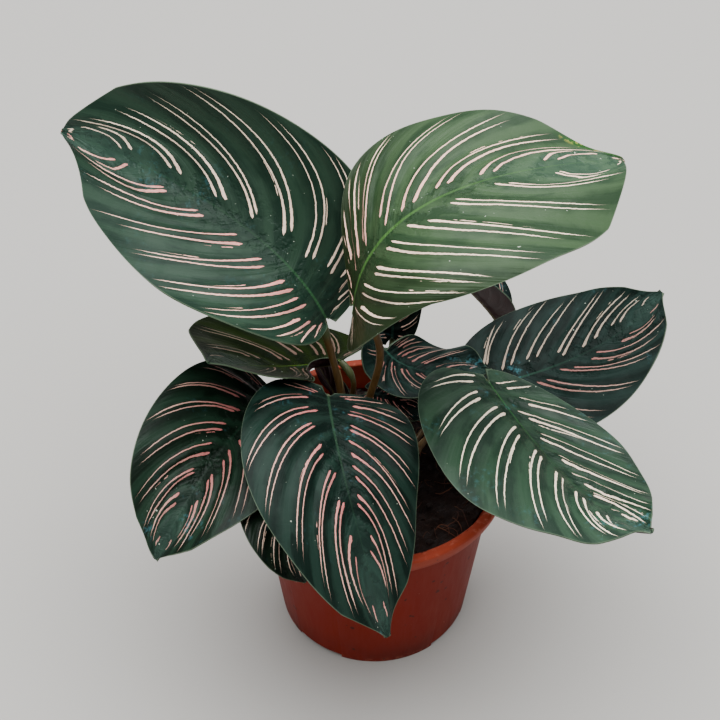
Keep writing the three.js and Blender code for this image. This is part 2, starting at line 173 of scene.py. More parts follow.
LEAVES = {
    "upper_left": leaf(
        (-21, 18, 161), (-60, 40, 198), (-134, 89, 203), (46, 51), (-2, -53), (4, 16), (-27, -38),
        (3, 6), (2.2, 2.2), (0.58, 0.52), (0.74, 0.61), 8, (-13, 15), 1.6, 12,
        "#213628", "#11261b", (0.9, 0.35), "#2c5230", 0.5, 0.2, 0.15, 1.0, tip_lines=2),
    "upper_right": leaf(
        (-9, -3, 189), (21, 11, 232), (101, 49, 221), (48, 51), (-16, 6), (-1, 12), (-4, 40),
        (3, 19), (2.2, 2.2), (0.77, 0.7), (0.72, 0.52), 8, (-6, 13), 1.6, 34,
        "#33482d", "#1c321b", (0.7, 0.4), "#42682f", 1.0, 0.25, 0.0, 1.0,
        tip_lines=2, rib_half=1.25, glow=1.0, torn=True),
    "lower_left": leaf(
        (-45, 24, 106), (-69, -22, 114), (-92, -55, 91), (37, 36), (-8, -6), (23, 26), (12, -4),
        (6, 2), (1.7, 1.7), (0.5, 0.46), (0.83, 0.76), 8, (-20, 3), 1.4, 50,
        "#14281b", "#06140a", (1.0, 1.0), "#1d3a29", 0.5, 0.2, 0.3, 0.6),
    "front": leaf(
        (-20, -1, 133), (-12, -47, 129), (5, -83, 75), (34, 41), (-15, -6), (12, 15), (14, 33),
        (2, 6), (1.7, 1.7), (0.42, 0.46), (0.77, 0.76), 8, (-12, -7), 1.4, 62,
        "#172a22", "#061610", (1.0, 1.0), "#2b4631", 0.75, 0.14, 0.55, 0.8),
    "right_front": leaf(
        (48.7, 11.4, 127.8), (82, -48.1, 129.1), (108, -79.9, 140.6), (36.9, 52.5), (-30.2, -4.5),
        (0, 26), (-12.3, 61.8), (5.6, 2.4), (1.7, 1.7), (0.53, 0.21), (1.1, 0.64), 8,
        (10, -11), 1.4, 70,
        "#243d2a", "#0c2516", (0.3, 0.15), "#2d5c2b", 0.45, 0.35, 0.5, 1.0, tip_lines=0),
    "right_back": leaf(
        (41, 23, 111), (95, 43, 115), (127, 62, 133), (34, 34), (10, 1), (10, 7), (14, 18),
        (3, 6), (1, 1), (0.47, 0.38), (0.77, 0.85), 7, (12, 0), 1.3, 36,
        "#12231e", "#05130e", (0.3, 0.9), "#1d4030", 0.6, 0.1, 0.5, 0.42),
    # Painted shade: inner_left's green and dark are darker and its lines duller, for the shade of the
    # upper leaf over it.
    "inner_left": leaf(
        (-16, 25, 128), (-40, 25, 124), (-69, -1, 154), (30, 37), (23, -5), (24, 3), (9, -8),
        (2, 6), (0.8, 0.8), (0.8, 0.61), (0.2, 0.49), 6, (-13, 27), 1.2, 50,
        "#182405", "#070f02", (0.6, 0.6), "#4f6e10", 0.9, 0.04, 0.1, 0.22, 0.3),
    "low_front": leaf(
        (-39, -16, 103), (-34, -49, 108), (-29, -62, 85), (22, 22), (-2, 0), (10, 10), (12, 10),
        (5, 5), (0.6, 0.6), (0.53, 0.53), (0.78, 0.78), 6, (-20, -11), 1.1, 50,
        "#101e13", "#040f07", (0.6, 0.6), "#1d3a24", 0.5),
    "inner_right": leaf(
        (5, 37, 121), (21, 29, 117), (50, 21, 125), (24, 21), (-14, 0), (10, 10), (32, 17),
        (1, 17), (2.5, 0.8), (0.51, 0.51), (0.69, 0.86), 6, (3, 30), 1.1, 66,
        "#12251f", "#061511", (0.9, 0.9), "#23463a", 0.6, 0.1, 0.5, 0.42),
    "low_right": leaf(
        (-2, 26, 106), (10, 20, 107), (22, 14, 102), (10, 10), (0, 0), (10, 10), (14, 14),
        (4, 4), (0.6, 0.6), (0.52, 0.52), (0.8, 0.8), 6, (-6, 22), 1.1, 60,
        "#0b1a16", "#040d09", (0.9, 0.9), "#1b332b", 0.5),
    "back_middle": leaf(
        (8, 60, 106), (9, 68, 130), (10, 76, 156), (13, 13), (0, 0), (12, 12), (10, 10),
        (4, 4), (0.6, 0.6), (0.52, 0.52), (0.8, 0.8), 6, (6, 30), 1.1, 20,
        "#0c1914", "#040c09", (0.6, 0.6), "#1b332b", 0.5),
    "back_right": leaf(
        (57, 76, 102), (43, 73, 124), (27, 65, 146), (17, 17), (-35, -35), (85, 15), (5, 10),
        (4, 4), (0.6, 0.6), (0.52, 0.52), (0.8, 0.8), 6, (14, 22), 1.1, 40,
        "#122724", "#061613", (0.7, 0.7), "#2a4a3c", 0.6, 0.2, 0.5, 0.7),
    "back_left": leaf(
        (-14, 33, 91), (-21, 39, 103), (-29, 45, 114), (12, 12), (75, 80), (10, 10), (10, 10),
        (3, 3), (0.6, 0.6), (0.52, 0.52), (0.8, 0.8), 6, (-17, 27), 1.1, 20,
        "#0f1d17", "#06100c", (0.7, 0.7), "#22402f", 0.5),
}
widest = max(max(values["half"]) for values in LEAVES.values())
print(len(LEAVES), "leaves, the widest half", widest, "mm")

# %% [markdown]
# The midrib is one quadratic curve through three points. At each share of its length it gives a
# point, the direction along, the direction across to the right, and the normal of the upper face.
# The functions work on whole NumPy arrays, so a blade of several thousand points takes no time.

# %% The midrib
def unit(vectors):
    return vectors / np.linalg.norm(vectors, axis=-1, keepdims=True)


def midrib_of(values):
    """The midrib's length, and a function that gives its point and three directions."""
    base, middle, tip = (np.array(values[key], float) for key in ("base", "middle", "tip"))
    bend = 2 * middle - (base + tip) / 2
    share = np.linspace(0, 1, 201)[:, None]
    line = base * (1 - share) ** 2 + 2 * bend * share * (1 - share) + tip * share ** 2
    length = np.linalg.norm(np.diff(line, axis=0), axis=1).sum()

    def at(share):
        inside = np.clip(share, 0, 1)[..., None]
        before = np.minimum(share, 0)[..., None]
        point = base * (1 - inside) ** 2 + 2 * bend * inside * (1 - inside) + tip * inside ** 2
        point = point + 2 * (bend - base) * before
        along = unit((bend - base) * (1 - inside) + (tip - bend) * inside)
        level = unit(np.cross(along, (0, 0, 1)))
        above = np.cross(level, along)
        roll = np.radians(values["roll"][0] * (1 - inside) + values["roll"][1] * inside)
        across = level * np.cos(roll) - above * np.sin(roll)
        normal = above * np.cos(roll) + level * np.sin(roll)
        return point, along, across, normal

    return length, at


lengths = {name: round(float(midrib_of(values)[0])) for name, values in LEAVES.items()}
print("midribs are", lengths, "mm long")

# %% [markdown]
# Now the sheet. `row` counts along the leaf from base to tip, two rows to a pleat, and `reach`
# runs from 0 at the midrib to 1 at the margin, negative on the left half. Beside the place of each
# point, the function gives what the stripes need later: how far along the leaf the point is, as a
# share of it, and how far it is from the midrib, in millimetres.

# %% The blade's surface
def half_width(share, half, full, blunt):
    """Half the width of the oval outline at a share of the leaf's length."""
    share = np.clip(share, 0, 1)
    widest = full / (full + blunt)
    oval = (share / widest) ** full * ((1 - share) / (1 - widest)) ** blunt
    oval = oval * np.minimum((1 - share) / POINT_LENGTH, 1) ** POINT_POWER
    return half * oval + (NECK_HALF + (TIP_HALF - NECK_HALF) * share) * (1 - oval)


def blade_surface(values, row, reach_signed):
    """The place of each point, its share of the way to the tip, and how far it is off the rib."""
    length, at = midrib_of(values)
    rows = 2 * values["pleats"] + END_ROWS
    side = (reach_signed >= 0).astype(int)
    sign = np.where(side == 0, -1.0, 1.0)
    reach = np.abs(reach_signed)
    keys = ("half", "fold", "curl", "lobe", "wave", "full", "blunt")
    half, fold, curl, lobe, wave, full, blunt = (np.array(values[key], float)[side] for key in keys)
    vein = (row / rows) ** ROW_POWER
    origin = length * vein ** ORIGIN_POWER
    share = 1 - (1 - vein) ** MARGIN_POWER
    past = np.minimum(share / LOBE_END, 1)
    end_x = length * share - lobe * np.cos(np.pi / 2 * past)
    end_y = half_width(share, half, full, blunt)
    bend_x = origin + VEIN_BEND[0] * (end_x - origin)
    led_out = np.maximum(end_y, TIP_BULGE * half_width(bend_x / length, half, full, blunt))
    bend_y = (BASE_BEND + (VEIN_BEND[1] - BASE_BEND) * past) * led_out
    rest = 1 - reach
    x = rest ** 2 * origin + 2 * rest * reach * bend_x + reach ** 2 * end_x
    y = 2 * rest * reach * bend_y + reach ** 2 * end_y
    point, _, across, normal = at(x / length)
    fold, turn = np.radians(fold), np.radians(curl) / half
    slope = fold - turn * y
    outward = (np.sin(fold) - np.sin(slope)) / turn
    rise = (np.cos(slope) - np.cos(fold)) / turn
    fade = np.minimum(2.2 * (1 - vein), 1)
    wave = wave * fade * reach ** 2 * np.sin(2 * np.pi * (WAVE_COUNT * vein + 0.3 * side + 0.1))
    window = np.clip(row - 1.5, 0, 1) * np.clip(rows - 1.5 - row, 0, 1)
    ridge = -np.cos(np.pi * row) * window * fade * PLEAT * np.sin(np.pi * np.minimum(reach * 1.15, 1))
    lift = rise + wave + ridge + small_relief(values, row, reach, side, vein, y)
    place = point + across * (sign * outward)[..., None] + normal * lift[..., None]
    return place, vein, y


middle = float(half_width(np.array(0.5), *(LEAVES["front"][key][0] for key in ("half", "full", "blunt"))))
print("the front blade's left half is", round(middle, 1), "mm wide at the middle")

# %% [markdown]
# Between the side veins a living blade is never smooth. It puckers into short shallow dents near
# the midrib, and its margin ripples a little. Both are far below a millimetre, and both are sines
# in the leaf's own row and reach, so that they lie along the veins.

# %% Puckers and ripples
PUCKER = 0.22  # height of the dents
RIPPLE = 0.3  # height of the margin's ripple
CORD = 0.3  # how far the midrib stands above the blade
LARGE_HALF = 47  # half width of a large blade, on which these sizes and the stripes' are full


def small_relief(values, row, reach, side, vein, y):
    """How far puckers, ripple and midrib lift the sheet, in millimetres."""
    seed = values["half"][0] + 1.7 * side
    dents = np.sin(2.9 * row + 9 * reach + seed) * np.sin(13 * reach - 1.3 * row + 2 * seed)
    dents = dents + 0.6 * np.sin(6.1 * row + 21 * reach + seed) * np.sin(17 * reach + 0.7 * row)
    crumple = np.sin(11.3 * row + 31 * reach + seed) * np.sin(27 * reach - 5.1 * row + seed)
    dents = dents + 0.6 * crumple * np.exp(-(reach / 0.45) ** 2)
    size = np.sqrt(max(values["half"]) / LARGE_HALF)
    pucker = PUCKER * size * dents * np.sin(np.pi * np.minimum(1.5 * reach, 1)) * (1 - 0.5 * reach)
    ripple = RIPPLE * size * reach ** 6 * np.sin(2 * np.pi * (6.3 * vein + 0.2 * seed)) * (1 - vein)
    cord = CORD * np.exp(-(y / 0.8) ** 2) * (1 - 0.7 * vein)
    return pucker + ripple + cord


# %% [markdown]
# The stripes come in pairs, one pair on each pleat, and no two pairs are alike: the lines start
# and stop at different places, and some pairs have a thin broken third line. Painting them needs a
# ruler that follows the leaf, and the mesh can carry one. Each point stores
# - `ruler`: the pleat's number, the reach, and the distance between pleats here in millimetres;
# - `offsets` and `widths`: where three lines run beside the pleat's crest, and their half widths.
#   A half width falls below zero before a line starts and after it ends, so the shader needs no
#   other rule to stop it;
# - `rim`: the distance to the midrib and to the margin, and the midrib's half width;
# - `hue`: how pink the lines are, how olive the green is, and how far along the leaf the point is.

# %% Stripe layout
LINE_GAP = 1.7  # half the distance between the two lines of a pair, in millimetres
LINE_HALF = 0.45  # half the width of a line
FLARE = 0.7  # how much wider a line is where it starts
STRAY = 0.35  # how far a line wanders from an even course
THIRD_LINE = 0.65  # share of the pairs that have a third line
START = (0.08, 0.19)  # a line starts here on the way from midrib to margin, from least to most
END = (0.87, 0.98)  # and ends here
BOLDNESS = (0.75, 1.2)  # how wide one line is beside another
OPENING = (0.6, 1.35)  # how wide apart one pair is beside another
CLOSING = (0.1, 0.5)  # how much of that it has lost at the margin
SHIFT = 0.08  # how far a pair is off its pleat's crest, as a share of the pleat
THIRD_START, THIRD_RUN = (0.2, 0.6), (0.12, 0.4)  # where a third line starts, and its length
CROWDED = 2.6  # pleats closer than this, in millimetres, have thinner lines


def stripe_layout(values, row, reach, side, pitch, seed):
    """Offsets and half widths of three lines at every point, as two arrays of three columns."""
    draw = np.random.default_rng(seed)
    pairs = values["pleats"]
    size = np.sqrt(np.max(values["half"]) / LARGE_HALF)
    pair = np.clip(np.rint((row - 3) / 2), 0, pairs - 1).astype(int)
    offsets = np.zeros(row.shape + (3,))
    widths = np.full(row.shape + (3,), -1.0)
    start = draw.uniform(*START, (2, pairs, 3))
    end = draw.uniform(*END, (2, pairs, 3))
    # The first pair and the last are shorter, and more so on a blade with a bare tip.
    start[:, 0] += 0.1
    end[:, 0] -= 0.1
    end[:, -1] -= 0.14
    if values["tip_lines"] < 2:
        start[:, -2:] += [[0.06], [0.18]]
        end[:, -2:] -= [[0.06], [0.01]]
    bold = draw.uniform(*BOLDNESS, (2, pairs, 3))
    bold[:, -1, :2 - values["tip_lines"]] = 0.0
    gap = draw.uniform(*OPENING, (2, pairs))
    close = draw.uniform(*CLOSING, (2, pairs))
    shift = draw.uniform(-SHIFT, SHIFT, (2, pairs))
    lean = draw.choice([-1.0, 1.0], (2, pairs))
    swing = draw.uniform(0.5, 1.4, (2, pairs, 3))
    phase = draw.uniform(0, 2 * np.pi, (2, pairs, 3))
    third = draw.random((2, pairs)) < THIRD_LINE
    third[:, -2:] = False
    start[..., 2] = draw.uniform(*THIRD_START, (2, pairs))
    end[..., 2] = start[..., 2] + draw.uniform(*THIRD_RUN, (2, pairs))
    beside = LINE_GAP * size * gap[side, pair] * (1 - close[side, pair] * reach ** 2)
    beside = np.minimum(beside, 0.24 * pitch)
    for line, place in enumerate((-1.0, 1.0, 1.75)):
        first, last = start[side, pair, line], end[side, pair, line]
        run = np.clip((reach - first) / (last - first), 0, 1)
        thick = LINE_HALF * size * bold[side, pair, line] * (0.5 if line == 2 else 1.0)
        taper = 1 + FLARE * np.exp(-run / 0.1) - 0.6 * run
        ends = np.minimum((reach - first) / 0.02, (last - reach) / 0.1)
        half = np.minimum(thick * taper, 0.088 * pitch) * np.minimum(ends, 1)
        crowding = 0.5 * np.clip((CROWDED - pitch) / 1.2, 0, 1)
        half = np.where(thick > 0, half - crowding, -1.0)
        if line == 2:
            half = np.where(third[side, pair], half, -1.0)
            place = place * lean[side, pair]
        stray = np.sin(2 * np.pi * swing[side, pair, line] * reach + phase[side, pair, line])
        stray = np.minimum(STRAY * size, 0.06 * pitch) * stray
        offsets[..., line] = place * beside + shift[side, pair] * pitch + stray
        widths[..., line] = np.clip(half, -1, 1.2)
    return offsets, widths


# %% [markdown]
# Blades, sheaths and soil start from a flat grid, whose points NumPy moves all at once, and end in
# edit mode, where their faces are turned outwards. These tools save writing that out each time.

# %% Mesh tools
WELD = 0.00001  # points closer than a hundredth of a millimetre become one


def pick(piece):
    """Makes one object the only one selected, and the active one."""
    bpy.ops.object.select_all(action="DESELECT")
    piece.select_set(True)
    bpy.context.view_layer.objects.active = piece


def points_of(mesh):
    """The places of a mesh's points, one row each."""
    flat = np.zeros(len(mesh.vertices) * 3)
    mesh.vertices.foreach_get("co", flat)
    return flat.reshape(-1, 3)


def start_grid(name, columns, rows):
    """A grid from -1 to 1 both ways, and its points."""
    bpy.ops.object.select_all(action="DESELECT")
    bpy.ops.mesh.primitive_grid_add(x_subdivisions=columns, y_subdivisions=rows, size=2)
    piece = bpy.context.object
    piece.name = name
    return piece, points_of(piece.data)


def move_points(mesh, place):
    """Moves a mesh's points to places in millimetres."""
    mesh.vertices.foreach_set("co", (place * MM).ravel())


def store(mesh, name, *numbers):
    """Writes three numbers for each point as a named attribute."""
    attribute = mesh.attributes.new(name, "FLOAT_VECTOR", "POINT")
    attribute.data.foreach_set("vector", np.stack(numbers, -1).astype(np.float32).ravel())


def face_outwards(weld=False):
    """Turns all faces of the active piece outwards, after its doubles are merged if asked."""
    bpy.ops.object.mode_set(mode="EDIT")
    bpy.ops.mesh.select_all(action="SELECT")
    if weld:
        bpy.ops.mesh.remove_doubles(threshold=WELD)
    bpy.ops.mesh.normals_make_consistent(inside=False)
    bpy.ops.object.mode_set(mode="OBJECT")


print("mesh tools ready, welding below", WELD / MM, "mm")

# %% [markdown]
# A blade keeps its rulers as attributes, worked out from where its points have gone. The distance
# between pleats is the step from row to row, less the part of it that runs along the vein.

# %% Rulers on a blade
PITCH_RANGE = (0.5, 40)  # millimetres from pleat to pleat
BLUSH_FADE = (1.08, 0.62)  # how pink a line starts, and how much of that it loses by the margin
GLOW_END = 0.33  # share of the leaf over which a glowing base is olive


def margin_distance(place):
    """How far each grid point is from the nearest edge of its own half, in millimetres."""
    middle = place.shape[1] // 2
    distance = np.zeros(place.shape[:2])
    for part, outer in ((slice(0, middle + 1), 0), (slice(middle, None), -1)):
        half = place[:, part]
        edge = np.vstack([half[:, outer], half[0]])
        distance[:, part] = np.linalg.norm(half[:, :, None] - edge, axis=-1).min(-1)
    return distance


def store_rulers(mesh, values, row, reach_signed, place, vein, off_rib, seed):
    """Gives a blade's mesh the five attributes that its materials read."""
    reach = np.abs(reach_signed)
    side = (reach_signed >= 0).astype(int)
    step_row = np.gradient(place, axis=0) / np.gradient(row, axis=0)[..., None]
    step_out = unit(np.gradient(place, axis=1) + 1e-9)
    cross = step_row - step_out * (step_row * step_out).sum(-1, keepdims=True)
    pitch = np.clip(2 * np.linalg.norm(cross, axis=-1), *PITCH_RANGE)
    offsets, widths = stripe_layout(values, row, reach, side, pitch, seed)
    store(mesh, "ruler", (row - 3) / 2, reach_signed, pitch)
    store(mesh, "offsets", *np.moveaxis(offsets, -1, 0))
    store(mesh, "widths", *np.moveaxis(widths, -1, 0))
    rib_half = values["rib_half"] * (1 - vein) ** 0.8 + 0.1
    store(mesh, "rim", off_rib, margin_distance(place), rib_half)
    blush = np.array(values["blush"])[side] * np.clip(BLUSH_FADE[0] - BLUSH_FADE[1] * reach, 0, 1)
    glow = values["glow"] * np.clip(1.1 - vein / GLOW_END, 0, 1)
    store(mesh, "hue", blush, np.maximum(values["olive"], glow), vein)


print("rulers follow pleats from", PITCH_RANGE[0], "to", PITCH_RANGE[1], "mm apart")

# %% [markdown]
# `make_blade` puts it together: a grid primitive, its points moved by the formula, the rulers
# stored, and a Solidify modifier for the thickness. Solidify also gives the new lower face the
# next material, and a vertex group makes it thicker under the midrib, as the real rib is. The
# modifier is applied, because a finished piece keeps no live modifier here.

# %% Building a blade
COLUMNS = 64
ROWS_PER_PLEAT = 12
THIN_SHARE = 0.25  # the blade's thickness, as a share of the midrib's at its base
RIB_REACH = 1.6  # millimetres over which the rib thins out into the blade
SMOOTH_BELOW = math.radians(50)  # edges sharper than this stay sharp


def make_blade(name, values, seed, top, under):
    rows = 2 * values["pleats"] + END_ROWS
    steps = rows * ROWS_PER_PLEAT // 2
    piece, flat = start_grid("blade_" + name, COLUMNS, steps)
    mesh = piece.data
    flat = flat.reshape(steps + 1, COLUMNS + 1, 3)
    row = (flat[..., 1] + 1) / 2 * rows
    reach_signed = np.clip(flat[..., 0], -1, 1)
    place, vein, off_rib = blade_surface(values, row, reach_signed)
    move_points(mesh, place)
    store_rulers(mesh, values, row, reach_signed, place, vein, off_rib, seed)
    mesh.update()
    rib = piece.vertex_groups.new(name="rib")
    nearness = np.clip(1 - off_rib / RIB_REACH, 0, 1) * (1 - 0.8 * vein)
    weight = THIN_SHARE + (1 - THIN_SHARE) * nearness
    for index, value in enumerate(weight.ravel()):
        rib.add([index], float(value), "REPLACE")
    mesh.materials.append(top)
    mesh.materials.append(under)
    solidify = piece.modifiers.new("thickness", "SOLIDIFY")
    solidify.thickness = BLADE_THICK / THIN_SHARE * MM
    solidify.offset = -1
    solidify.vertex_group = "rib"
    solidify.material_offset = 1
    solidify.use_quality_normals = True
    bpy.ops.object.modifier_apply(modifier="thickness")
    piece.vertex_groups.clear()
    face_outwards()
    bpy.ops.object.shade_smooth_by_angle(angle=SMOOTH_BELOW)
    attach(piece, "root")
    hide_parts("leaf_" + name)
    return piece


# %% [markdown]
# ### Finish: striped leaf tissue, upper face
# The blade is living tissue that grew with a thin waxy skin. Under daylight it reads as a deep
# green with a soft, slightly grey sheen, because the wax reflects the sky over wide areas. So the
# material is a plain dielectric of middling roughness, and each leaf's `wax` sets how much it
# reflects. The lines could be an image on an unwrapped leaf, but the mesh's own rulers draw them
# as evenly at any size: a place is inside a line if it is nearer to the line's middle than the
# line's half width.
#
# Noise scales count lumps to the metre, so each is 1000 over a real size in millimetres.

# %% Stripes
EDGE_GRAIN = 480  # a line's edge wanders every 2 mm
EDGE_WANDER = 0.7  # by up to a third of a millimetre
DASHES = 11  # breaks of the third line along the way from midrib to margin
LINE_BLUR = 0.07  # half the width of a line's soft edge, in millimetres


def stripe_mask(node, pleat, reach, pitch, offsets, widths, place):
    """1 on a stripe and 0 off it, and how far a place is past the pleat's crest."""
    nearest = node("Math", (pleat,), operation="ROUND")
    beside = node("Math", (pleat, nearest), operation="SUBTRACT")
    wander = node("TexNoise", {"Vector": place, "Scale": EDGE_GRAIN, "Detail": 4, "Roughness": 0.65})
    wander = node("Math", (wander, 0.5), operation="SUBTRACT")
    wander = node("Math", (wander, EDGE_WANDER), operation="MULTIPLY")
    ruled = node("Math", (beside, pitch, wander), operation="MULTIPLY_ADD")
    along = node("Math", (reach, DASHES), operation="MULTIPLY")
    row = node("Math", (nearest, 5.3), operation="MULTIPLY")
    dash = node("CombineXYZ", (along, row))
    dash = node("TexNoise", {"Vector": dash, "Scale": 1.0}, **FLAT)
    broken = node("Math", (dash, 2.2, -1.05), operation="MULTIPLY_ADD")
    broken = node("Math", (broken, 0.0), operation="MINIMUM")
    mask = 0.0
    for index in range(3):
        off = node("Math", (ruled, offsets[index]), operation="SUBTRACT")
        off = node("Math", (off,), operation="ABSOLUTE")
        inside = node("Math", (widths[index], off), operation="SUBTRACT")
        if index == 2:
            inside = node("Math", (inside, broken), operation="ADD")
        inside = node("MapRange", (inside, -LINE_BLUR, LINE_BLUR), **SOFT_ENDS)
        mask = node("Math", (mask, inside), operation="MAXIMUM")
    return mask, beside


# %% [markdown]
# The green is darker under the lines, as painted shade of the pleats. On the side of each pleat
# nearer the tip it is darker and on the other side lighter: painted shade and light of the pleat's
# two slopes. Long dark blotches along the veins and creases near the midrib are painted shade of
# the sheet's relief. Towards the tip the green turns greyer, a painted sheen.

# %% Green tissue
MOTTLE = 60  # clouds of 17 mm
CREASES = 170  # creases of 6 mm
BLOTCH_ACROSS, BLOTCH_ALONG = 2.3, 3.5  # dark blotches to a pleat, and from midrib to margin


def leaf_green(node, values, pleat, reach, beside, off_rib, olive, vein, place):
    """The blade's green with its painted shade and sheen, and the clouds and creases that its surface
    needs again.
    """
    # painted shade: long dark blotches along the veins, for the sheet's relief
    across = node("Math", (pleat, BLOTCH_ACROSS), operation="MULTIPLY")
    along = node("Math", (reach, BLOTCH_ALONG), operation="MULTIPLY")
    blotch = node("CombineXYZ", (across, along))
    blotch = node("TexNoise", {"Vector": blotch, "Scale": 1.0, "Detail": 3}, **FLAT)
    blotch = node("MapRange", (blotch, 0.48, 0.7), **SOFT_ENDS)
    away = node("Math", (beside,), operation="ABSOLUTE")
    # painted shade: darker near each pleat's crest, under the lines
    shade = node("MapRange", (away, 0.08, 0.42, 0.85, 0.0), **SOFT_ENDS)
    # painted shade and light: darker on the pleat's side nearer the tip, lighter on the other
    lee = node("MapRange", (beside, 0.0, 0.25, -0.3, 0.35), **SOFT_ENDS)
    valley = node("MapRange", (away, 0.4, 0.5, 1.0, 0.0), **SOFT_ENDS)
    lee = node("Math", (lee, valley), operation="MULTIPLY")
    shade = node("Math", (shade, lee), operation="ADD")
    shade = node("Math", (blotch, 0.7, shade), operation="MULTIPLY_ADD")
    # painted shade in the small creases near the midrib; the same noise raises them in the bump
    crease = node("TexNoise", {"Vector": place, "Scale": CREASES, "Detail": 3, "Roughness": 0.6})
    crease = node("MapRange", (crease, 0.48, 0.64), **SOFT_ENDS)
    by_rib = node("MapRange", (off_rib, 2, 18, 0.8, 0.1), **SOFT_ENDS)
    crease = node("Math", (crease, by_rib), operation="MULTIPLY")
    shade = node("Math", (shade, crease), operation="ADD")
    mottle = node("TexNoise", {"Vector": place, "Scale": MOTTLE, "Detail": 4, "Roughness": 0.6})
    cloud = node("Math", (mottle, 0.5), operation="SUBTRACT")
    shade = node("Math", (cloud, 1.3, shade), operation="MULTIPLY_ADD", use_clamp=True)
    green, dark = linear(values["green"]), linear(values["dark"])
    colour = node("Mix", {0: shade, 6: green, 7: dark}, **COLOURS)
    colour = node("Mix", {0: olive, 6: colour, 7: linear("#16220a")}, **COLOURS)
    # painted sheen: the green greys towards the tip
    bloom = node("MapRange", (vein, 0.62, 0.95, 0.0, 0.14), **SOFT_ENDS)
    colour = node("Mix", {0: bloom, 6: colour, 7: linear("#5b7a6e")}, **COLOURS)
    return colour, mottle, crease


# %% [markdown]
# A leaf that has lived in a room for months is marked: dust settles in pale specks. Blue-green
# patches, broken into a fine grain and strongest near the midrib, are painted reflection: glints of
# the sky on the wax. One blade's far edge is torn and has dried out, first yellow and then brown.

# %% Marks on a blade
TORN_STREAKS = 330  # streaks of 3 mm
PUDDLES = 48  # painted glint patches of 21 mm
WRINKLES = 420  # grain of 2.4 mm that breaks up the painted glints
LEAF_DUST = 640  # specks on a grid of 1.6 mm, far larger than real dust, so that they show


def torn_edge(node, colour, reach, vein, off_margin, place):
    """Yellow and brown damage on the far end of the left margin, where it has rolled over."""
    there = node("MapRange", (vein, 0.56, 0.64), **SOFT_ENDS)
    for reading in ((vein, 0.86, 0.93, 1, 0), (off_margin, 1.5, 4.0, 1, 0), (reach, -0.7, -0.55, 1, 0)):
        limit = node("MapRange", reading, **SOFT_ENDS)
        there = node("Math", (there, limit), operation="MULTIPLY")
    colour = node("Mix", {0: there, 6: colour, 7: linear("#1d4514")}, **COLOURS)
    streak = node("TexNoise", {"Vector": place, "Scale": TORN_STREAKS, "Detail": 3})
    for low, high, most, stain in ((0.55, 0.62, 0.8, "#7f8a3a"), (0.62, 0.67, 1.0, "#6a3a20")):
        stained = node("MapRange", (streak, low, high, 0.0, most), **SOFT_ENDS)
        stained = node("Math", (there, stained), operation="MULTIPLY")
        colour = node("Mix", {0: stained, 6: colour, 7: linear(stain)}, **COLOURS)
    return colour


def water_and_dust(node, colour, film, off_rib, place):
    """The colour with painted glints, blue-green reflections of the sky, and with dust."""
    wet = node("TexNoise", {"Vector": place, "Scale": PUDDLES})
    wet = node("MapRange", (wet, 0.55, 0.66), **SOFT_ENDS)
    by_rib = node("MapRange", (off_rib, 6, 18, 1.0, 0.25), **SOFT_ENDS)
    wet = node("Math", (wet, by_rib), operation="MULTIPLY")
    wrinkle = node("TexNoise", {"Vector": place, "Scale": WRINKLES, "Detail": 4, "Roughness": 0.65})
    wrinkle = node("MapRange", (wrinkle, 0.5, 0.68), **SOFT_ENDS)
    wet = node("Math", (wet, wrinkle), operation="MULTIPLY")
    wet = node("Math", (wet, film), operation="MULTIPLY")
    # painted reflection: blue-green glints of the sky on the wax
    colour = node("Mix", {0: wet, 6: colour, 7: linear("#47838c")}, **COLOURS)
    dust = node("TexNoise", {"Vector": place, "Scale": LEAF_DUST, "Detail": 1})
    dust = node("MapRange", (dust, 0.78, 0.82, 0.0, 0.7), **SOFT_ENDS)
    return node("Mix", {0: dust, 6: colour, 7: linear("#b9c2b0")}, **COLOURS)


# %% [markdown]
# The whole upper face lays these over each other, as they lie on the leaf: green, the paler midrib
# and the thin pale edge, the lines, and the painted glints and the dust on top. Fine veins follow
# the rulers, so they bend with the leaf, and lift the surface a little.

# %% Upper face material
FINE_VEINS = 9  # fine veins to a pleat, drawn a little coarser than life so that they show
BUCKLES = 150  # shallow buckles of 7 mm


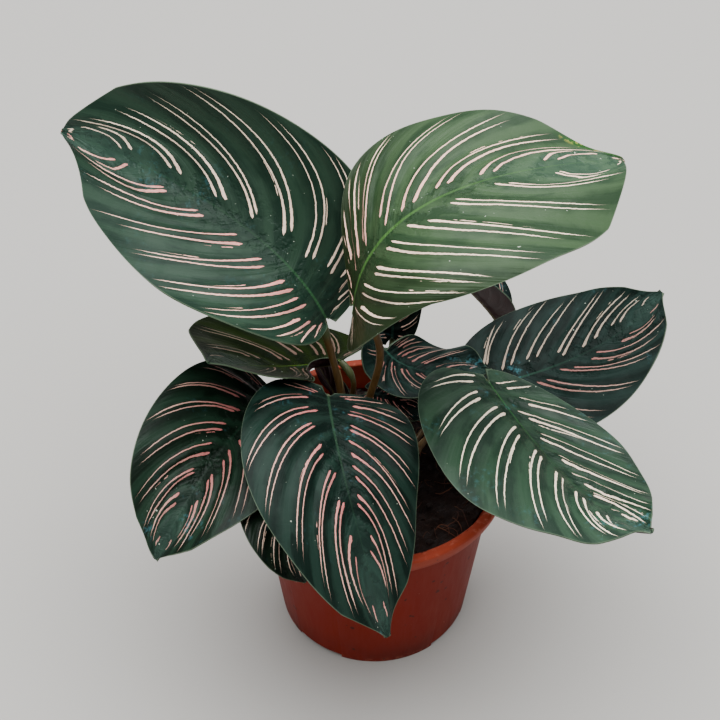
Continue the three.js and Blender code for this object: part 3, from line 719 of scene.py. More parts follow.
def leaf_top(name, values):
    material, node = new_material("leaf_top_" + name)
    ruler, offsets, widths, rim, hue = [
        node("SeparateXYZ", (node("Attribute", output="Vector", attribute_name=key),)).node.outputs
        for key in ("ruler", "offsets", "widths", "rim", "hue")]
    pleat, reach, pitch = ruler
    off_rib, off_margin, rib_half = rim
    blush, olive, vein = hue
    place = node("TexCoord", output="Object")
    lines, beside = stripe_mask(node, pleat, reach, pitch, offsets, widths, place)
    colour, mottle, crease = leaf_green(
        node, values, pleat, reach, beside, off_rib, olive, vein, place)
    ribbed = node("Math", (rib_half, off_rib), operation="SUBTRACT")
    ribbed = node("MapRange", (ribbed, -0.2, 0.3), **SOFT_ENDS)
    young = (vein, 0.15 * values["rib_end"], values["rib_end"], 0.85, 0.15)
    young = node("MapRange", young, **SOFT_ENDS)
    ribbed = node("Math", (ribbed, young), operation="MULTIPLY")
    colour = node("Mix", {0: ribbed, 6: colour, 7: linear(values["rib"])}, **COLOURS)
    edge = node("MapRange", (off_margin, 0.1, 0.4, 0.4, 0.0), **SOFT_ENDS)
    colour = node("Mix", {0: edge, 6: colour, 7: linear("#6b7a62")}, **COLOURS)
    if values["torn"]:
        colour = torn_edge(node, colour, reach, vein, off_margin, place)
    paint = node("Mix", {0: blush, 6: linear("#fff1d4"), 7: linear("#d97b78")}, **COLOURS)
    inked = node("Math", (lines, values["ink"]), operation="MULTIPLY")
    colour = node("Mix", {0: inked, 6: colour, 7: paint}, **COLOURS)
    colour = water_and_dust(node, colour, values["film"], off_rib, place)
    across = node("Math", (pleat, FINE_VEINS), operation="MULTIPLY")
    along = node("Math", (reach, 2.5), operation="MULTIPLY")
    veins = node("CombineXYZ", (across, along))
    veins = node("TexNoise", {"Vector": veins, "Scale": 1.0, "Detail": 1}, **FLAT)
    height = node("TexNoise", {"Vector": place, "Scale": BUCKLES, "Detail": 3})
    height = node("Math", (height, 0.9, veins), operation="MULTIPLY_ADD")
    height = node("Math", (crease, -1.8, height), operation="MULTIPLY_ADD")
    bump = node("Bump", {"Strength": 0.5, "Distance": 0.4 * MM, "Height": height})
    roughness = node("MapRange", (mottle, 0.3, 0.7, 0.36, 0.54), **SOFT_ENDS)
    surface = node("BsdfPrincipled", {
        "Base Color": colour, "Roughness": roughness, "IOR": 1.4,
        "Specular IOR Level": values["wax"], "Normal": bump})
    node("OutputMaterial", (surface,))
    return material


# %% [markdown]
# ### Finish: leaf underside
# Below, the grown tissue is a deep wine red that lets little light through, with a paler, greener
# rib and pleats that read as soft folds. It has less wax than the top and is hardly marked.

# %% Underside material
UNDER_CLOUDS = 70  # clouds of 14 mm


def leaf_under():
    material, node = new_material("leaf_underside")
    ruler, rim = [
        node("SeparateXYZ", (node("Attribute", output="Vector", attribute_name=key),)).node.outputs
        for key in ("ruler", "rim")]
    place = node("TexCoord", output="Object")
    cloud = node("TexNoise", {"Vector": place, "Scale": UNDER_CLOUDS, "Detail": 4})
    colour = node("Mix", {0: cloud, 6: linear("#150607"), 7: linear("#331218")}, **COLOURS)
    ribbed = node("Math", (rim[2], rim[0]), operation="SUBTRACT")
    ribbed = node("MapRange", (ribbed, -0.3, 0.4), **SOFT_ENDS)
    colour = node("Mix", {0: ribbed, 6: colour, 7: linear("#4f4a2b")}, **COLOURS)
    across = node("Math", (ruler[0], FINE_VEINS), operation="MULTIPLY")
    veins = node("CombineXYZ", (across, ruler[1]))
    veins = node("TexNoise", {"Vector": veins, "Scale": 1.0, "Detail": 1}, **FLAT)
    bump = node("Bump", {"Strength": 0.4, "Distance": 0.3 * MM, "Height": veins})
    surface = node("BsdfPrincipled", {
        "Base Color": colour, "Roughness": 0.5, "IOR": 1.4, "Normal": bump})
    node("OutputMaterial", (surface,))
    return material


# %% [markdown]
# Each blade has an upper finish of its own, because the greens and the strength of the lines differ
# from leaf to leaf, and all share one underside. A seed for each leaf makes its lines its own, and
# the same on every run.

# %% All blades
FIRST_SEED = 11

under = leaf_under()
blades = []
for seed, (name, values) in enumerate(LEAVES.items(), FIRST_SEED):
    top = leaf_top(name, values)
    blades.append(make_blade(name, values, seed, top, under))
print("blades", len(blades), "with", sum(len(b.data.polygons) for b in blades), "faces")

# %% [markdown]
# ## Stalks
# Each leaf stands on a slim round stalk that rises from the soil and bends over to the blade. Its
# last centimetre is a thicker joint, by which the living plant turns its leaves through the day. A
# curve with a round bevel is how such a stem is usually made, because it can be drawn with a few
# points and given a radius at each. Turned to a mesh, it keeps caps at both ends.

# %% The way of a stalk
SOIL_TOP = 82
HOLE_DEPTH = 24
JOINT_LENGTH = 13
JOINT_EXTRA = 0.45  # how much thicker the joint is
LIFT_SHARE = 0.45  # how straight it leaves the soil, as a share of its rise
LEAD_SHARE = 0.38  # and how straight it comes to the blade
LEAST_LIFT = 17
GAP = 0.3
STALK_POINTS = 40


def stalk_path(values):
    """Points up the stalk in millimetres, and the radius at each."""
    _, at = midrib_of(values)
    base, along, _, normal = (part[0] for part in at(np.zeros(1)))
    tilt = math.radians(values["tilt"])
    arrival = along * math.cos(tilt) + normal * math.sin(tilt)
    radius = values["stalk"] + JOINT_EXTRA
    set_back = GAP + radius * math.sin(tilt)
    drop = radius * math.cos(tilt) + GAP
    foot = np.array((*values["foot"], SOIL_TOP - HOLE_DEPTH), float)
    ground = np.array((*values["foot"], SOIL_TOP + 2), float)
    end = base - along * set_back - normal * drop
    rise = end[2] - ground[2]
    lift = ground + (0, 0, max(LIFT_SHARE * rise, LEAST_LIFT))
    lead = end - arrival * LEAD_SHARE * rise
    t = np.linspace(0, 1, STALK_POINTS)[:, None]
    curve = (ground * (1 - t) ** 3 + 3 * lift * t * (1 - t) ** 2
             + 3 * lead * t ** 2 * (1 - t) + end * t ** 3)
    length = np.linalg.norm(np.diff(curve, axis=0), axis=1).sum()
    left = length * (1 - t[:, 0])
    joint = np.clip((JOINT_LENGTH - left) / (JOINT_LENGTH * 0.4), 0, 1)
    joint = joint ** 2 * (3 - 2 * joint)
    points = np.vstack([foot, curve])
    radii = np.concatenate([[values["stalk"]], values["stalk"] + JOINT_EXTRA * joint])
    return points, radii


def run_along(points):
    """How far along a line each of its points is."""
    return np.concatenate([[0], np.cumsum(np.linalg.norm(np.diff(points, axis=0), axis=1))])


runs = {name: round(float(run_along(stalk_path(values)[0])[-1])) for name, values in LEAVES.items()}
print("stalks are", runs, "mm long")

# %% [markdown]
# One function draws round strands of any kind, here the stalks and later the fibres in the soil.
# A stalk also carries a ruler, `climb`: how far each point is above its foot and below its blade.

# %% Building a stalk
def strands(name, lines, roundness):
    """A mesh of round strands, each given by its points and its radius at each."""
    curve = bpy.data.curves.new(name, "CURVE")
    curve.dimensions = "3D"
    curve.bevel_depth = MM
    curve.bevel_resolution = roundness
    curve.use_fill_caps = True
    for points, radii in lines:
        spline = curve.splines.new("POLY")
        spline.points.add(len(points) - 1)
        for spot, point, radius in zip(spline.points, points * MM, radii):
            spot.co = (*point, 1)
            spot.radius = radius
    drawn = bpy.data.objects.new(name, curve)
    bpy.context.collection.objects.link(drawn)
    pick(drawn)
    bpy.ops.object.convert(target="MESH")
    return bpy.context.object


def make_stalk(name, values, material):
    points, radii = stalk_path(values)
    piece = strands("stem_" + name, [(points, radii)], 4)
    skin_points = points_of(piece.data) / MM
    nearest = np.argmin(((skin_points[:, None] - points[None]) ** 2).sum(-1), axis=1)
    run = run_along(points)
    store(piece.data, "climb", run[nearest], run[-1] - run[nearest], 0 * run[nearest])
    piece.data.materials.append(material)
    face_outwards(weld=True)
    bpy.ops.object.shade_smooth_by_angle(angle=SMOOTH_BELOW)
    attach(piece, "root")
    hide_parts("stalk_" + name)
    return piece


# %% [markdown]
# ### Finish: stalk skin
# The stalk is grown flesh under a tight skin: brown-green and faintly ribbed lengthwise, with a
# greyer, greener joint. To the eye it is a soft satin, a little rougher than the blade.

# %% Stalk material and stalks
STALK_RIBS = (900, 900, 90)  # ribs of 1.1 mm, ten times as long, coarser than life so that they show


def stalk_skin():
    material, node = new_material("stalk_skin")
    climb = node("Attribute", output="Vector", attribute_name="climb")
    below_blade = node("SeparateXYZ", (climb,), output="Y")
    place = node("TexCoord", output="Object")
    stretched = node("Mapping", {"Vector": place, "Scale": STALK_RIBS})
    fibre = node("TexNoise", {"Vector": stretched, "Scale": 1.0, "Detail": 3})
    colour = node("Mix", {0: fibre, 6: linear("#33240f"), 7: linear("#6b5029")}, **COLOURS)
    joint = node("MapRange", (below_blade, 7, JOINT_LENGTH, 1.0, 0.0), **SOFT_ENDS)
    colour = node("Mix", {0: joint, 6: colour, 7: linear("#454d2c")}, **COLOURS)
    bump = node("Bump", {"Strength": 0.5, "Distance": 0.2 * MM, "Height": fibre})
    surface = node("BsdfPrincipled", {
        "Base Color": colour, "Roughness": 0.42, "IOR": 1.4, "Normal": bump})
    node("OutputMaterial", (surface,))
    return material


skin = stalk_skin()
stalks = [make_stalk(name, values, skin) for name, values in LEAVES.items()]
print("stalks", len(stalks))

# %% [markdown]
# ### Sheaths
# A calathea stalk is wrapped at its foot by a thin sheath, the widened edge of the stalk itself,
# which ends in a pale point. Each is a strip wound most of the way round the stalk: wide at the
# soil, narrowing to the point, and thickened by Solidify.

# %% Sheaths
SHEATHS = {"upper_left": 52, "upper_right": 46, "lower_left": 30, "front": 34, "right_front": 36}
SHEATH_FOOT = 20  # how far up the stalk it starts, just under the soil
SHEATH_CLEAR = 0.35  # how far it stands off the stalk
SHEATH_THICK = 0.3


def make_sheath(name, height, material):
    points, radii = stalk_path(LEAVES[name])
    run = run_along(points)
    piece, flat = start_grid("sheath_" + name, 20, 30)
    mesh = piece.data
    round_share = np.abs(flat[:, 0])
    share = (flat[:, 1] + 1) / 2
    climb = SHEATH_FOOT + share * height
    centre = np.stack([np.interp(climb, run, points[:, k]) for k in range(3)], -1)
    ahead = np.stack([np.interp(climb + 1, run, points[:, k]) for k in range(3)], -1)
    direction = unit(ahead - centre)
    across = unit(np.cross(direction, (0.3, 1, 0)))
    other = np.cross(direction, across)
    spread = math.pi * (0.92 * (1 - share ** 2.2) + 0.02)
    angle = (flat[:, 0] * spread + len(name))[:, None]
    radius = np.interp(climb, run, radii) + SHEATH_CLEAR + 0.5 * (1 - share) * round_share
    place = centre + radius[:, None] * (across * np.cos(angle) + other * np.sin(angle))
    move_points(mesh, place)
    store(mesh, "climb", share, round_share, 0 * share)
    mesh.materials.append(material)
    solidify = piece.modifiers.new("thickness", "SOLIDIFY")
    solidify.thickness = SHEATH_THICK * MM
    bpy.ops.object.modifier_apply(modifier="thickness")
    face_outwards()
    bpy.ops.object.shade_smooth_by_angle(angle=SMOOTH_BELOW)
    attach(piece, "root")
    return piece


# %% [markdown]
# ### Finish: sheath skin
# The sheath is grown tissue too, but thin, dry and papery: olive brown, and paling to straw at its
# point and its edges, where it has dried out most. It hardly shines.

# %% Sheath material and sheaths
SHEATH_FIBRES = (1100, 1100, 70)  # fibres of 0.9 mm and 14 mm long, coarser than life to show


def sheath_skin():
    material, node = new_material("sheath_skin")
    climb = node("Attribute", output="Vector", attribute_name="climb")
    height, round_share, _ = node("SeparateXYZ", (climb,)).node.outputs
    place = node("TexCoord", output="Object")
    stretched = node("Mapping", {"Vector": place, "Scale": SHEATH_FIBRES})
    fibre = node("TexNoise", {"Vector": stretched, "Scale": 1.0, "Detail": 3})
    colour = node("Mix", {0: fibre, 6: linear("#2a1f0e"), 7: linear("#5a4a2a")}, **COLOURS)
    point = node("MapRange", (height, 0.8, 1.0), **SOFT_ENDS)
    colour = node("Mix", {0: point, 6: colour, 7: linear("#b59a72")}, **COLOURS)
    edge = node("MapRange", (round_share, 0.85, 1.0, 0.0, 0.5), **SOFT_ENDS)
    colour = node("Mix", {0: edge, 6: colour, 7: linear("#8a7448")}, **COLOURS)
    bump = node("Bump", {"Strength": 0.6, "Distance": 0.2 * MM, "Height": fibre})
    surface = node("BsdfPrincipled", {
        "Base Color": colour, "Roughness": 0.55, "IOR": 1.4, "Normal": bump})
    node("OutputMaterial", (surface,))
    return material


paper = sheath_skin()
sheaths = [make_sheath(name, height, paper) for name, height in SHEATHS.items()]
print("sheaths", len(sheaths))

# %% [markdown]
# ## Potting mix
# The mix is dark, damp and crumbly, with reddish coir fibres in it. Its surface is a square grid
# drawn into a disc, raised by the same swells and lumps as its solid, with clods of a few
# millimetres on top. Its rim is extruded down to the pot's floor, so that it is a closed plug.

# %% Ground
SOIL_LUMP = 1.4
SOIL_RADIUS = 50.6
SOIL_FLOOR = 4.0
SOIL_FLOOR_RADIUS = 41.4
SOIL_STEPS = 150


def soil_height(x, y):
    """The solid's own surface, in millimetres."""
    swell = 0.6 * np.sin(0.17 * x + 1.1) * np.sin(0.21 * y + 0.4)
    lump = 0.4 * np.sin(0.43 * x - 0.37 * y) + 0.3 * np.sin(0.61 * y + 0.29 * x)
    return SOIL_TOP + SOIL_LUMP * (swell + lump)


def clods(x, y):
    """Height of the clods at one place: 6 mm clods, 2 mm lumps and a fine grain."""
    spot = Vector((x, y, 3.0))
    coarse = abs(noise.noise(spot * 0.16))
    middle = abs(noise.noise(spot * 0.45))
    fine = noise.noise(spot * 1.3)
    return 3.4 * coarse + 1.7 * middle + 0.45 * fine - 0.8


def ground(x, y):
    """Height of the surface with its clods, in millimetres."""
    return float(soil_height(x, y)) + clods(x, y)


print("ground in the middle of the pot at", round(ground(0, 0), 1), "mm")

# %% [markdown]
# The square grid becomes a disc by a formula that keeps its cells nearly square: a fan of triangles
# would crowd them in the middle. Extruding the rim without moving it gives a second ring of
# points, which then goes down to the floor, and `fill` closes it.

# %% Potting mix plug
soil, flat = start_grid("potting_mix", SOIL_STEPS, SOIL_STEPS)
u, v = flat[:, 0], flat[:, 1]
disc_x = SOIL_RADIUS * u * np.sqrt(1 - v ** 2 / 2)
disc_y = SOIL_RADIUS * v * np.sqrt(1 - u ** 2 / 2)
rough = np.array([clods(x, y) for x, y in zip(disc_x, disc_y)])
disc_z = soil_height(disc_x, disc_y) + rough
move_points(soil.data, np.stack([disc_x, disc_y, disc_z], -1))
bpy.ops.object.mode_set(mode="EDIT")
bpy.ops.mesh.select_all(action="SELECT")
bpy.ops.mesh.region_to_loop()
bpy.ops.mesh.extrude_region_move(TRANSFORM_OT_translate={"value": (0, 0, 0)})
bpy.ops.object.mode_set(mode="OBJECT")
squeeze = SOIL_FLOOR_RADIUS / SOIL_RADIUS
for vertex in soil.data.vertices:
    if vertex.select:
        vertex.co = (vertex.co.x * squeeze, vertex.co.y * squeeze, SOIL_FLOOR * MM)
bpy.ops.object.mode_set(mode="EDIT")
bpy.ops.mesh.fill()
face_outwards()
bpy.ops.object.shade_smooth_by_angle(angle=math.radians(60))
lowest, highest = round(disc_z.min(), 1), round(disc_z.max(), 1)
print("potting mix", len(soil.data.polygons), "faces, its top from", lowest, "to", highest, "mm")

# %% [markdown]
# Crumbs and fibres lie loose on it. A crumb is an icosphere pushed out of shape, and one mesh
# holds a few hundred of them, because so many objects would be slow to handle. The fibres are
# short bent strands, also all in one mesh. Both draw their places from one seeded generator.

# %% Crumbs
CRUMBS = 420
CRUMB_EDGE = 48.5  # how far out they lie
CRUMB_LEAST, CRUMB_MORE = 0.45, 1.3  # radius of the smallest, and how much more the largest has
scatter = np.random.default_rng(5)


def scattered_spot(edge):
    """A place drawn evenly over a disc, and the ground's height there."""
    angle = scatter.uniform(0, 2 * math.pi)
    radius = edge * math.sqrt(scatter.uniform(0, 1))
    x, y = radius * math.cos(angle), radius * math.sin(angle)
    return x, y, ground(x, y)


bpy.ops.object.select_all(action="DESELECT")
bpy.ops.mesh.primitive_ico_sphere_add(subdivisions=2, radius=1)
crumbs = bpy.context.object
crumbs.name = "crumbs"
ball = points_of(crumbs.data)
ball_faces = np.array([list(p.vertices) for p in crumbs.data.polygons])
places, faces = [], []
for index in range(CRUMBS):
    x, y, z = scattered_spot(CRUMB_EDGE)
    size = CRUMB_LEAST + CRUMB_MORE * scatter.random() ** 3
    stretch = scatter.uniform(0.6, 1.3, 3)
    shift = scatter.uniform(-9, 9, 3)
    lumpy = np.array([1 + 0.45 * noise.noise(Vector(p * 1.3 + shift)) for p in ball])
    places.append(ball * lumpy[:, None] * size * stretch + (x, y, z + 0.25 * size))
    faces.append(ball_faces + index * len(ball))
crumbs.data.clear_geometry()
crumbs.data.from_pydata((np.vstack(places) * MM).tolist(), [], np.vstack(faces).tolist())
crumbs.data.shade_smooth()
print("crumbs", CRUMBS, "with", len(crumbs.data.polygons), "faces")

# %% [markdown]
# A fibre starts at a drawn place and walks seven steps, turning a little at each. Its middle arches
# off the ground, and no point of it goes below the clods.

# %% Fibres
FIBRES = 170
FIBRE_EDGE = 45
FIBRE_STEPS = 7
FIBRE_LENGTH = (4, 15)
FIBRE_LIFT = (0.2, 2.2)  # how high its middle arches off the ground
FIBRE_RADIUS = (0.09, 0.24)


def fibre_line():
    """One bent fibre that lies on the clods: its points, and its radius at each."""
    x, y, z = scattered_spot(FIBRE_EDGE)
    heading = scatter.uniform(0, 2 * math.pi)
    turn = scatter.uniform(-0.5, 0.5)
    length = scatter.uniform(*FIBRE_LENGTH)
    lift = scatter.uniform(*FIBRE_LIFT)
    thick = scatter.uniform(*FIBRE_RADIUS)
    points, radii = [], []
    for step in range(FIBRE_STEPS + 1):
        share = step / FIBRE_STEPS
        points.append((x, y, max(z, ground(x, y)) + thick + lift * math.sin(math.pi * share)))
        radii.append(thick * (1 - 0.5 * share))
        heading += turn
        x += length / FIBRE_STEPS * math.cos(heading)
        y += length / FIBRE_STEPS * math.sin(heading)
        z -= 0.1
    return np.array(points), radii


fibres = strands("coir_fibres", [fibre_line() for _ in range(FIBRES)], 1)
fibres.data.shade_smooth()
print("fibres", FIBRES, "with", len(fibres.data.polygons), "faces")

# %% [markdown]
# ### Finish: damp potting mix, crumbs and coir
# Potting mix is peat, bark and coir, milled and wetted. It is nearly black where it is damp and
# brown where it has dried on top of the clods, and it is matt all over. Coir is combed from
# coconut husk: reddish brown, and a little smoother.

# %% Potting mix materials
MIX_GRIT = 900  # grit of 1.1 mm
MIX_DAMP = 120  # damp patches of 8 mm
HUSK = 90  # its colour changes every 11 mm


def potting_mix():
    material, node = new_material("damp_potting_mix")
    place = node("TexCoord", output="Object")
    grain = node("TexNoise", {"Vector": place, "Scale": MIX_GRIT, "Detail": 6, "Roughness": 0.7})
    patch = node("TexNoise", {"Vector": place, "Scale": MIX_DAMP, "Detail": 4, "Roughness": 0.6})
    colour = node("Mix", {0: patch, 6: linear("#0d0604"), 7: linear("#2a160d")}, **COLOURS)
    dry = node("MapRange", (grain, 0.55, 0.75, 0.0, 0.7), **SOFT_ENDS)
    colour = node("Mix", {0: dry, 6: colour, 7: linear("#54301d")}, **COLOURS)
    bump = node("Bump", {"Strength": 1.0, "Distance": 0.9 * MM, "Height": grain})
    roughness = node("MapRange", (patch, 0.3, 0.7, 0.6, 0.95), **SOFT_ENDS)
    surface = node("BsdfPrincipled", {
        "Base Color": colour, "Roughness": roughness, "IOR": 1.4, "Normal": bump})
    node("OutputMaterial", (surface,))
    return material


def coir():
    material, node = new_material("coir_fibre")
    place = node("TexCoord", output="Object")
    husk = node("TexNoise", {"Vector": place, "Scale": HUSK})
    colour = node("Mix", {0: husk, 6: linear("#2a1208"), 7: linear("#7a4526")}, **COLOURS)
    node("OutputMaterial", (node("BsdfPrincipled", {"Base Color": colour, "Roughness": 0.7}),))
    return material


mix_finish = potting_mix()
soil.data.materials.append(mix_finish)
crumbs.data.materials.append(mix_finish)
fibres.data.materials.append(coir())
for piece in (soil, crumbs, fibres):
    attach(piece, "root")
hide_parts("soil")
print("potting mix dressed")

# %% [markdown]
# ## Pot
# A nursery pot is injection moulded: one thin wall, a rim rolled out and down as a band, a foot
# with a ring channel and drain holes. The mould leaves no flat facets, so the wall's section is
# drawn once, as a closed outline, and the Screw modifier turns it round the axis. Corners of the
# section are drawn as small arcs, because no moulded edge is sharp.

# %% Pot section
POT_HEIGHT = 93
RIM_RADIUS = 60
FOOT_RADIUS = 42.5
SHOULDER_RADIUS = 52.5
BAND_FOOT = 84
BAND_LOWER_RADIUS = 58
WALL = 1.2
LIP_THICK = 1.6
LIP_INNER = 55.5
PAD_RADIUS = 28
CHANNEL_HEIGHT = 2.5
CHANNEL_OUTER_RADIUS = 39
INNER_FOOT = 42.94 - WALL  # where the inner wall ends, above the floor
FLOOR_TOP = 3.7


def corner(centre_r, centre_z, radius, first, last, count=5):
    """Points of an arc of the section, between two angles in degrees."""
    angles = np.radians(np.linspace(first, last, count))
    return [(centre_r + radius * math.cos(a), centre_z + radius * math.sin(a)) for a in angles]


section = [
    # the underside: pad, channel and foot ring
    (0, 0), (PAD_RADIUS, 0), (PAD_RADIUS + 1.5, CHANNEL_HEIGHT),
    (CHANNEL_OUTER_RADIUS, CHANNEL_HEIGHT), (CHANNEL_OUTER_RADIUS + 1, 0),
    *corner(FOOT_RADIUS - 0.8, 0.8, 0.8, -90, -7),
    # the outer wall, and up behind the band
    *corner(SHOULDER_RADIUS + 0.7, BAND_FOOT - 0.3, 0.7, 173, 120),
    (LIP_INNER + 0.4, POT_HEIGHT - LIP_THICK), (RIM_RADIUS - 2.2, POT_HEIGHT - LIP_THICK),
    (BAND_LOWER_RADIUS - WALL, BAND_FOOT + 0.3),
    # round the band's foot, up its face and over the lip
    *corner(BAND_LOWER_RADIUS - 0.6, BAND_FOOT + 0.5, 0.5, 200, 350),
    *corner(RIM_RADIUS - 1.5, POT_HEIGHT - 1.5, 1.5, 0, 90, 8),
    *corner(LIP_INNER + 1, POT_HEIGHT - 1, 1, 90, 180, 6),
    # down the inner wall to the floor
    *corner(SHOULDER_RADIUS - WALL - 1.5, BAND_FOOT - 2, 1.5, 20, -7),
    (INNER_FOOT, 5.2), (INNER_FOOT - 1.2, FLOOR_TOP), (PAD_RADIUS, FLOOR_TOP),
    (PAD_RADIUS - 1.5, WALL), (0, WALL)]
print("pot section", len(section), "points, widest", max(r for r, _ in section), "mm from the axis")

# %% [markdown]
# The outline is an edge-only mesh. Screw turns it in 144 steps, which keeps the rim's outline round
# in the picture, and merges its two ends on the axis, where the doubles are then welded.

# %% Pot body
POT_STEPS = 144

outline = bpy.data.meshes.new("pot_section")
links = [(i, i + 1) for i in range(len(section) - 1)]
outline.from_pydata([(r * MM, 0, z * MM) for r, z in section], links, [])
pot = bpy.data.objects.new("nursery_pot", outline)
bpy.context.collection.objects.link(pot)
pick(pot)
screw = pot.modifiers.new("turn", "SCREW")
screw.steps = screw.render_steps = POT_STEPS
screw.use_merge_vertices = True
screw.merge_threshold = WELD
bpy.ops.object.modifier_apply(modifier="turn")
face_outwards(weld=True)
print("pot turned to", len(pot.data.polygons), "faces")

# %% [markdown]
# Eight drain holes go through the channel's roof, and four gaps through the foot ring let water
# run out from under the pot. Each is cut with its own tool and a Boolean modifier.

# %% Drain holes and foot gaps
HOLES, HOLE_RADIUS, HOLE_RING = 8, 3, 34
GAPS, GAP_TURN, GAP_HALF_ANGLE = 4, -36.4, 16  # the turn puts one where the photograph shows it
GAP_OUTER, GAP_INNER = 44.5, 38.5


def cut_away(tool):
    """Takes the tool's solid out of the pot and deletes the tool."""
    pick(pot)
    boolean = pot.modifiers.new("cut", "BOOLEAN")
    boolean.operation = "DIFFERENCE"
    boolean.solver = "EXACT"
    boolean.object = tool
    bpy.ops.object.modifier_apply(modifier="cut")
    bpy.data.objects.remove(tool)


for index in range(HOLES):
    angle = math.radians(360 / HOLES * index)
    x, y = HOLE_RING * MM * math.cos(angle), HOLE_RING * MM * math.sin(angle)
    bpy.ops.mesh.primitive_cylinder_add(
        vertices=32, radius=HOLE_RADIUS * MM, depth=12 * MM, location=(x, y, 0))
    cut_away(bpy.context.object)
for index in range(GAPS):
    middle = math.radians(GAP_TURN + 360 / GAPS * index)
    half_angle = math.radians(GAP_HALF_ANGLE)
    angles = np.linspace(middle - half_angle, middle + half_angle, 13)
    ring = [(GAP_OUTER * math.cos(a), GAP_OUTER * math.sin(a)) for a in angles]
    ring += [(GAP_INNER * math.cos(a), GAP_INNER * math.sin(a)) for a in angles[::-1]]
    count = len(ring)
    corners = [(x * MM, y * MM, z * MM) for z in (-1, CHANNEL_HEIGHT) for x, y in ring]
    sides = [(k, (k + 1) % count, (k + 1) % count + count, k + count) for k in range(count)]
    ends = [tuple(range(count))[::-1], tuple(range(count, 2 * count))]
    shape = bpy.data.meshes.new("gap")
    shape.from_pydata(corners, [], ends + sides)
    tool = bpy.data.objects.new("gap", shape)
    bpy.context.collection.objects.link(tool)
    cut_away(tool)
bpy.ops.object.shade_smooth_by_angle(angle=math.radians(35))
print("pot with holes and gaps", len(pot.data.polygons), "faces")

# %% [markdown]
# ### Finish: satin polypropylene, terracotta colour
# The plastic is dyed through, so it has one colour, a little faded and dusty in places. The mould
# gives it a satin face. Handling leaves what makes it look real: pale scuffs low down and on the
# lip, and dark specks of potting mix. It is darker in soft patches towards the foot. The band is
# painted paler than the wall below it, a painted highlight for the light that it catches from above.

# %% Pot material
FADING = 35  # faded clouds of 29 mm
DAMP_SMEAR = 60  # smears of 17 mm
SCUFFS = 320  # scuffs of 3 mm
MIX_SPECKS = 240  # specks of mix on a grid of 4 mm
POT_DUST = 760  # dust on a grid of 1.3 mm, larger than life so that it shows
RUBBED = (400, 400, 40)  # rubbed streaks of 2.5 mm, ten times as high
MOULD_GRAIN = 1400  # grain of 0.7 mm, coarser than the mould's so that it shows


def pot_colour(node, height, place):
    """The dyed plastic, its band painted paler as a highlight, darker patches low down, and wear low down
    and on the lip.
    """
    cloud = node("TexNoise", {"Vector": place, "Scale": FADING, "Detail": 4, "Roughness": 0.6})
    colour = node("Mix", {0: cloud, 6: linear("#691303"), 7: linear("#741a07")}, **COLOURS)
    # painted highlight: the band is paler, for the light it catches from above
    band = node("MapRange", (height, 82 * MM, 87 * MM, 0.0, 0.5), **SOFT_ENDS)
    colour = node("Mix", {0: band, 6: colour, 7: linear("#9e4630")}, **COLOURS)
    # darker in soft patches towards the foot
    foot = node("MapRange", (height, 0.0, 22 * MM, 1.0, 0.0), **SOFT_ENDS)
    damp = node("TexNoise", {"Vector": place, "Scale": DAMP_SMEAR, "Detail": 3})
    damp = node("MapRange", (damp, 0.35, 0.65), **SOFT_ENDS)
    damp = node("Math", (foot, damp), operation="MULTIPLY")
    damp = node("Math", (damp, 0.55), operation="MULTIPLY")
    colour = node("Mix", {0: damp, 6: colour, 7: linear("#491207")}, **COLOURS)
    low = node("MapRange", (height, 1.2 * MM, 4 * MM, 1.0, 0.0), **SOFT_ENDS)
    lip = node("MapRange", (height, 91 * MM, 92.6 * MM), **SOFT_ENDS)
    worn = node("Math", (low, lip), operation="ADD", use_clamp=True)
    scuff = node("TexNoise", {"Vector": place, "Scale": SCUFFS, "Detail": 4, "Roughness": 0.7})
    scuff = node("MapRange", (scuff, 0.5, 0.68, 0.0, 0.4), **SOFT_ENDS)
    worn = node("Math", (worn, scuff), operation="MULTIPLY")
    return node("Mix", {0: worn, 6: colour, 7: linear("#b9725c")}, **COLOURS)


def terracotta_plastic():
    material, node = new_material("satin_polypropylene")
    place = node("TexCoord", output="Object")
    height = node("SeparateXYZ", (place,), output="Z")
    colour = pot_colour(node, height, place)
    speck = node("TexNoise", {"Vector": place, "Scale": MIX_SPECKS, "Detail": 1})
    speck = node("MapRange", (speck, 0.72, 0.75, 0.0, 0.75), **SOFT_ENDS)
    colour = node("Mix", {0: speck, 6: colour, 7: linear("#1a0c08")}, **COLOURS)
    dust = node("TexNoise", {"Vector": place, "Scale": POT_DUST, "Detail": 1})
    dust = node("MapRange", (dust, 0.8, 0.84, 0.0, 0.6), **SOFT_ENDS)
    colour = node("Mix", {0: dust, 6: colour, 7: linear("#c9a692")}, **COLOURS)
    rubbed = node("Mapping", {"Vector": place, "Scale": RUBBED})
    rubbed = node("TexNoise", {"Vector": rubbed, "Scale": 1.0, "Detail": 4, "Roughness": 0.7})
    roughness = node("Math", (rubbed, 0.25, 0.36), operation="MULTIPLY_ADD")
    peel = node("TexNoise", {"Vector": place, "Scale": MOULD_GRAIN})
    bump = node("Bump", {"Strength": 0.15, "Distance": 0.1 * MM, "Height": peel})
    surface = node("BsdfPrincipled", {
        "Base Color": colour, "Roughness": roughness, "IOR": 1.45, "Specular IOR Level": 0.1,
        "Normal": bump})
    node("OutputMaterial", (surface,))
    return material


pot.data.materials.clear()
pot.data.materials.append(terracotta_plastic())
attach(pot, "root")
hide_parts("pot")
print("pot dressed")

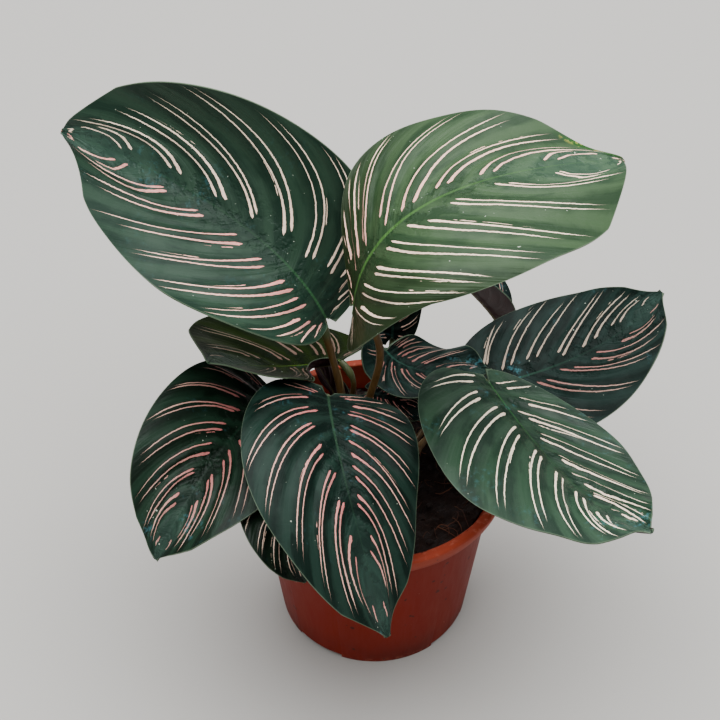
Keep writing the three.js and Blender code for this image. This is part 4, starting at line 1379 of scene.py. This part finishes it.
# %% [markdown]
# ## Floor and light
# The plant stands on a plain, pale, matt floor. It isn't part of the object, so it is marked as
# stage, and it is large enough that its edge shows in no view.

# %% Floor
FLOOR_SIZE = 16


def studio_floor():
    material, node = new_material("pale_floor")
    surface = node("BsdfPrincipled", {"Base Color": linear("#a5a29d"), "Roughness": 0.85})
    node("OutputMaterial", (surface,))
    return material


bpy.ops.object.select_all(action="DESELECT")
bpy.ops.mesh.primitive_plane_add(size=FLOOR_SIZE, location=(0, 0, 0))
floor = bpy.context.object
floor.name = "floor"
floor.data.materials.append(studio_floor())
floor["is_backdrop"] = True
print("floor", FLOOR_SIZE, "m across")

# %% [markdown]
# The light is plain daylight: one wide soft source nearly overhead, as under an open sky, and a
# weaker one from the front so that the pot's face shows. The world fills the shadows with a little
# blue, as the sky does.

# %% Light
LIGHTS = {
    "sky": dict(place=(0.1, 0.2, 1.7), size=2.8, power=118, colour=(0.98, 0.99, 1.0)),
    "front": dict(place=(-0.9, -1.1, 1.0), size=1.0, power=3, colour=(1.0, 0.97, 0.93)),
}
AIM = Vector((0, 0, 0.12))  # both point at the middle of the plant
DAYLIGHT = (0.86, 0.9, 0.95, 1)
DAYLIGHT_STRENGTH = 0.52

for name, light in LIGHTS.items():
    bpy.ops.object.light_add(type="AREA", location=light["place"])
    lamp = bpy.context.object
    lamp.name = name
    lamp.data.shape = "DISK"
    lamp.data.size = light["size"]
    lamp.data.energy = light["power"]
    lamp.data.color = light["colour"]
    lamp.rotation_euler = (AIM - lamp.location).to_track_quat("-Z", "Y").to_euler()

world = bpy.data.worlds.new("daylight")
world.use_nodes = True
background = world.node_tree.nodes["Background"]
background.inputs["Color"].default_value = DAYLIGHT
background.inputs["Strength"].default_value = DAYLIGHT_STRENGTH
bpy.context.scene.world = world
print("lights", list(LIGHTS), "and a daylight world")

# %% [markdown] ## Sizes The visual model has to stay inside the solids' box.

# %% Sizes
low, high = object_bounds()
print("visual size", [round(v, 4) for v in high - low])
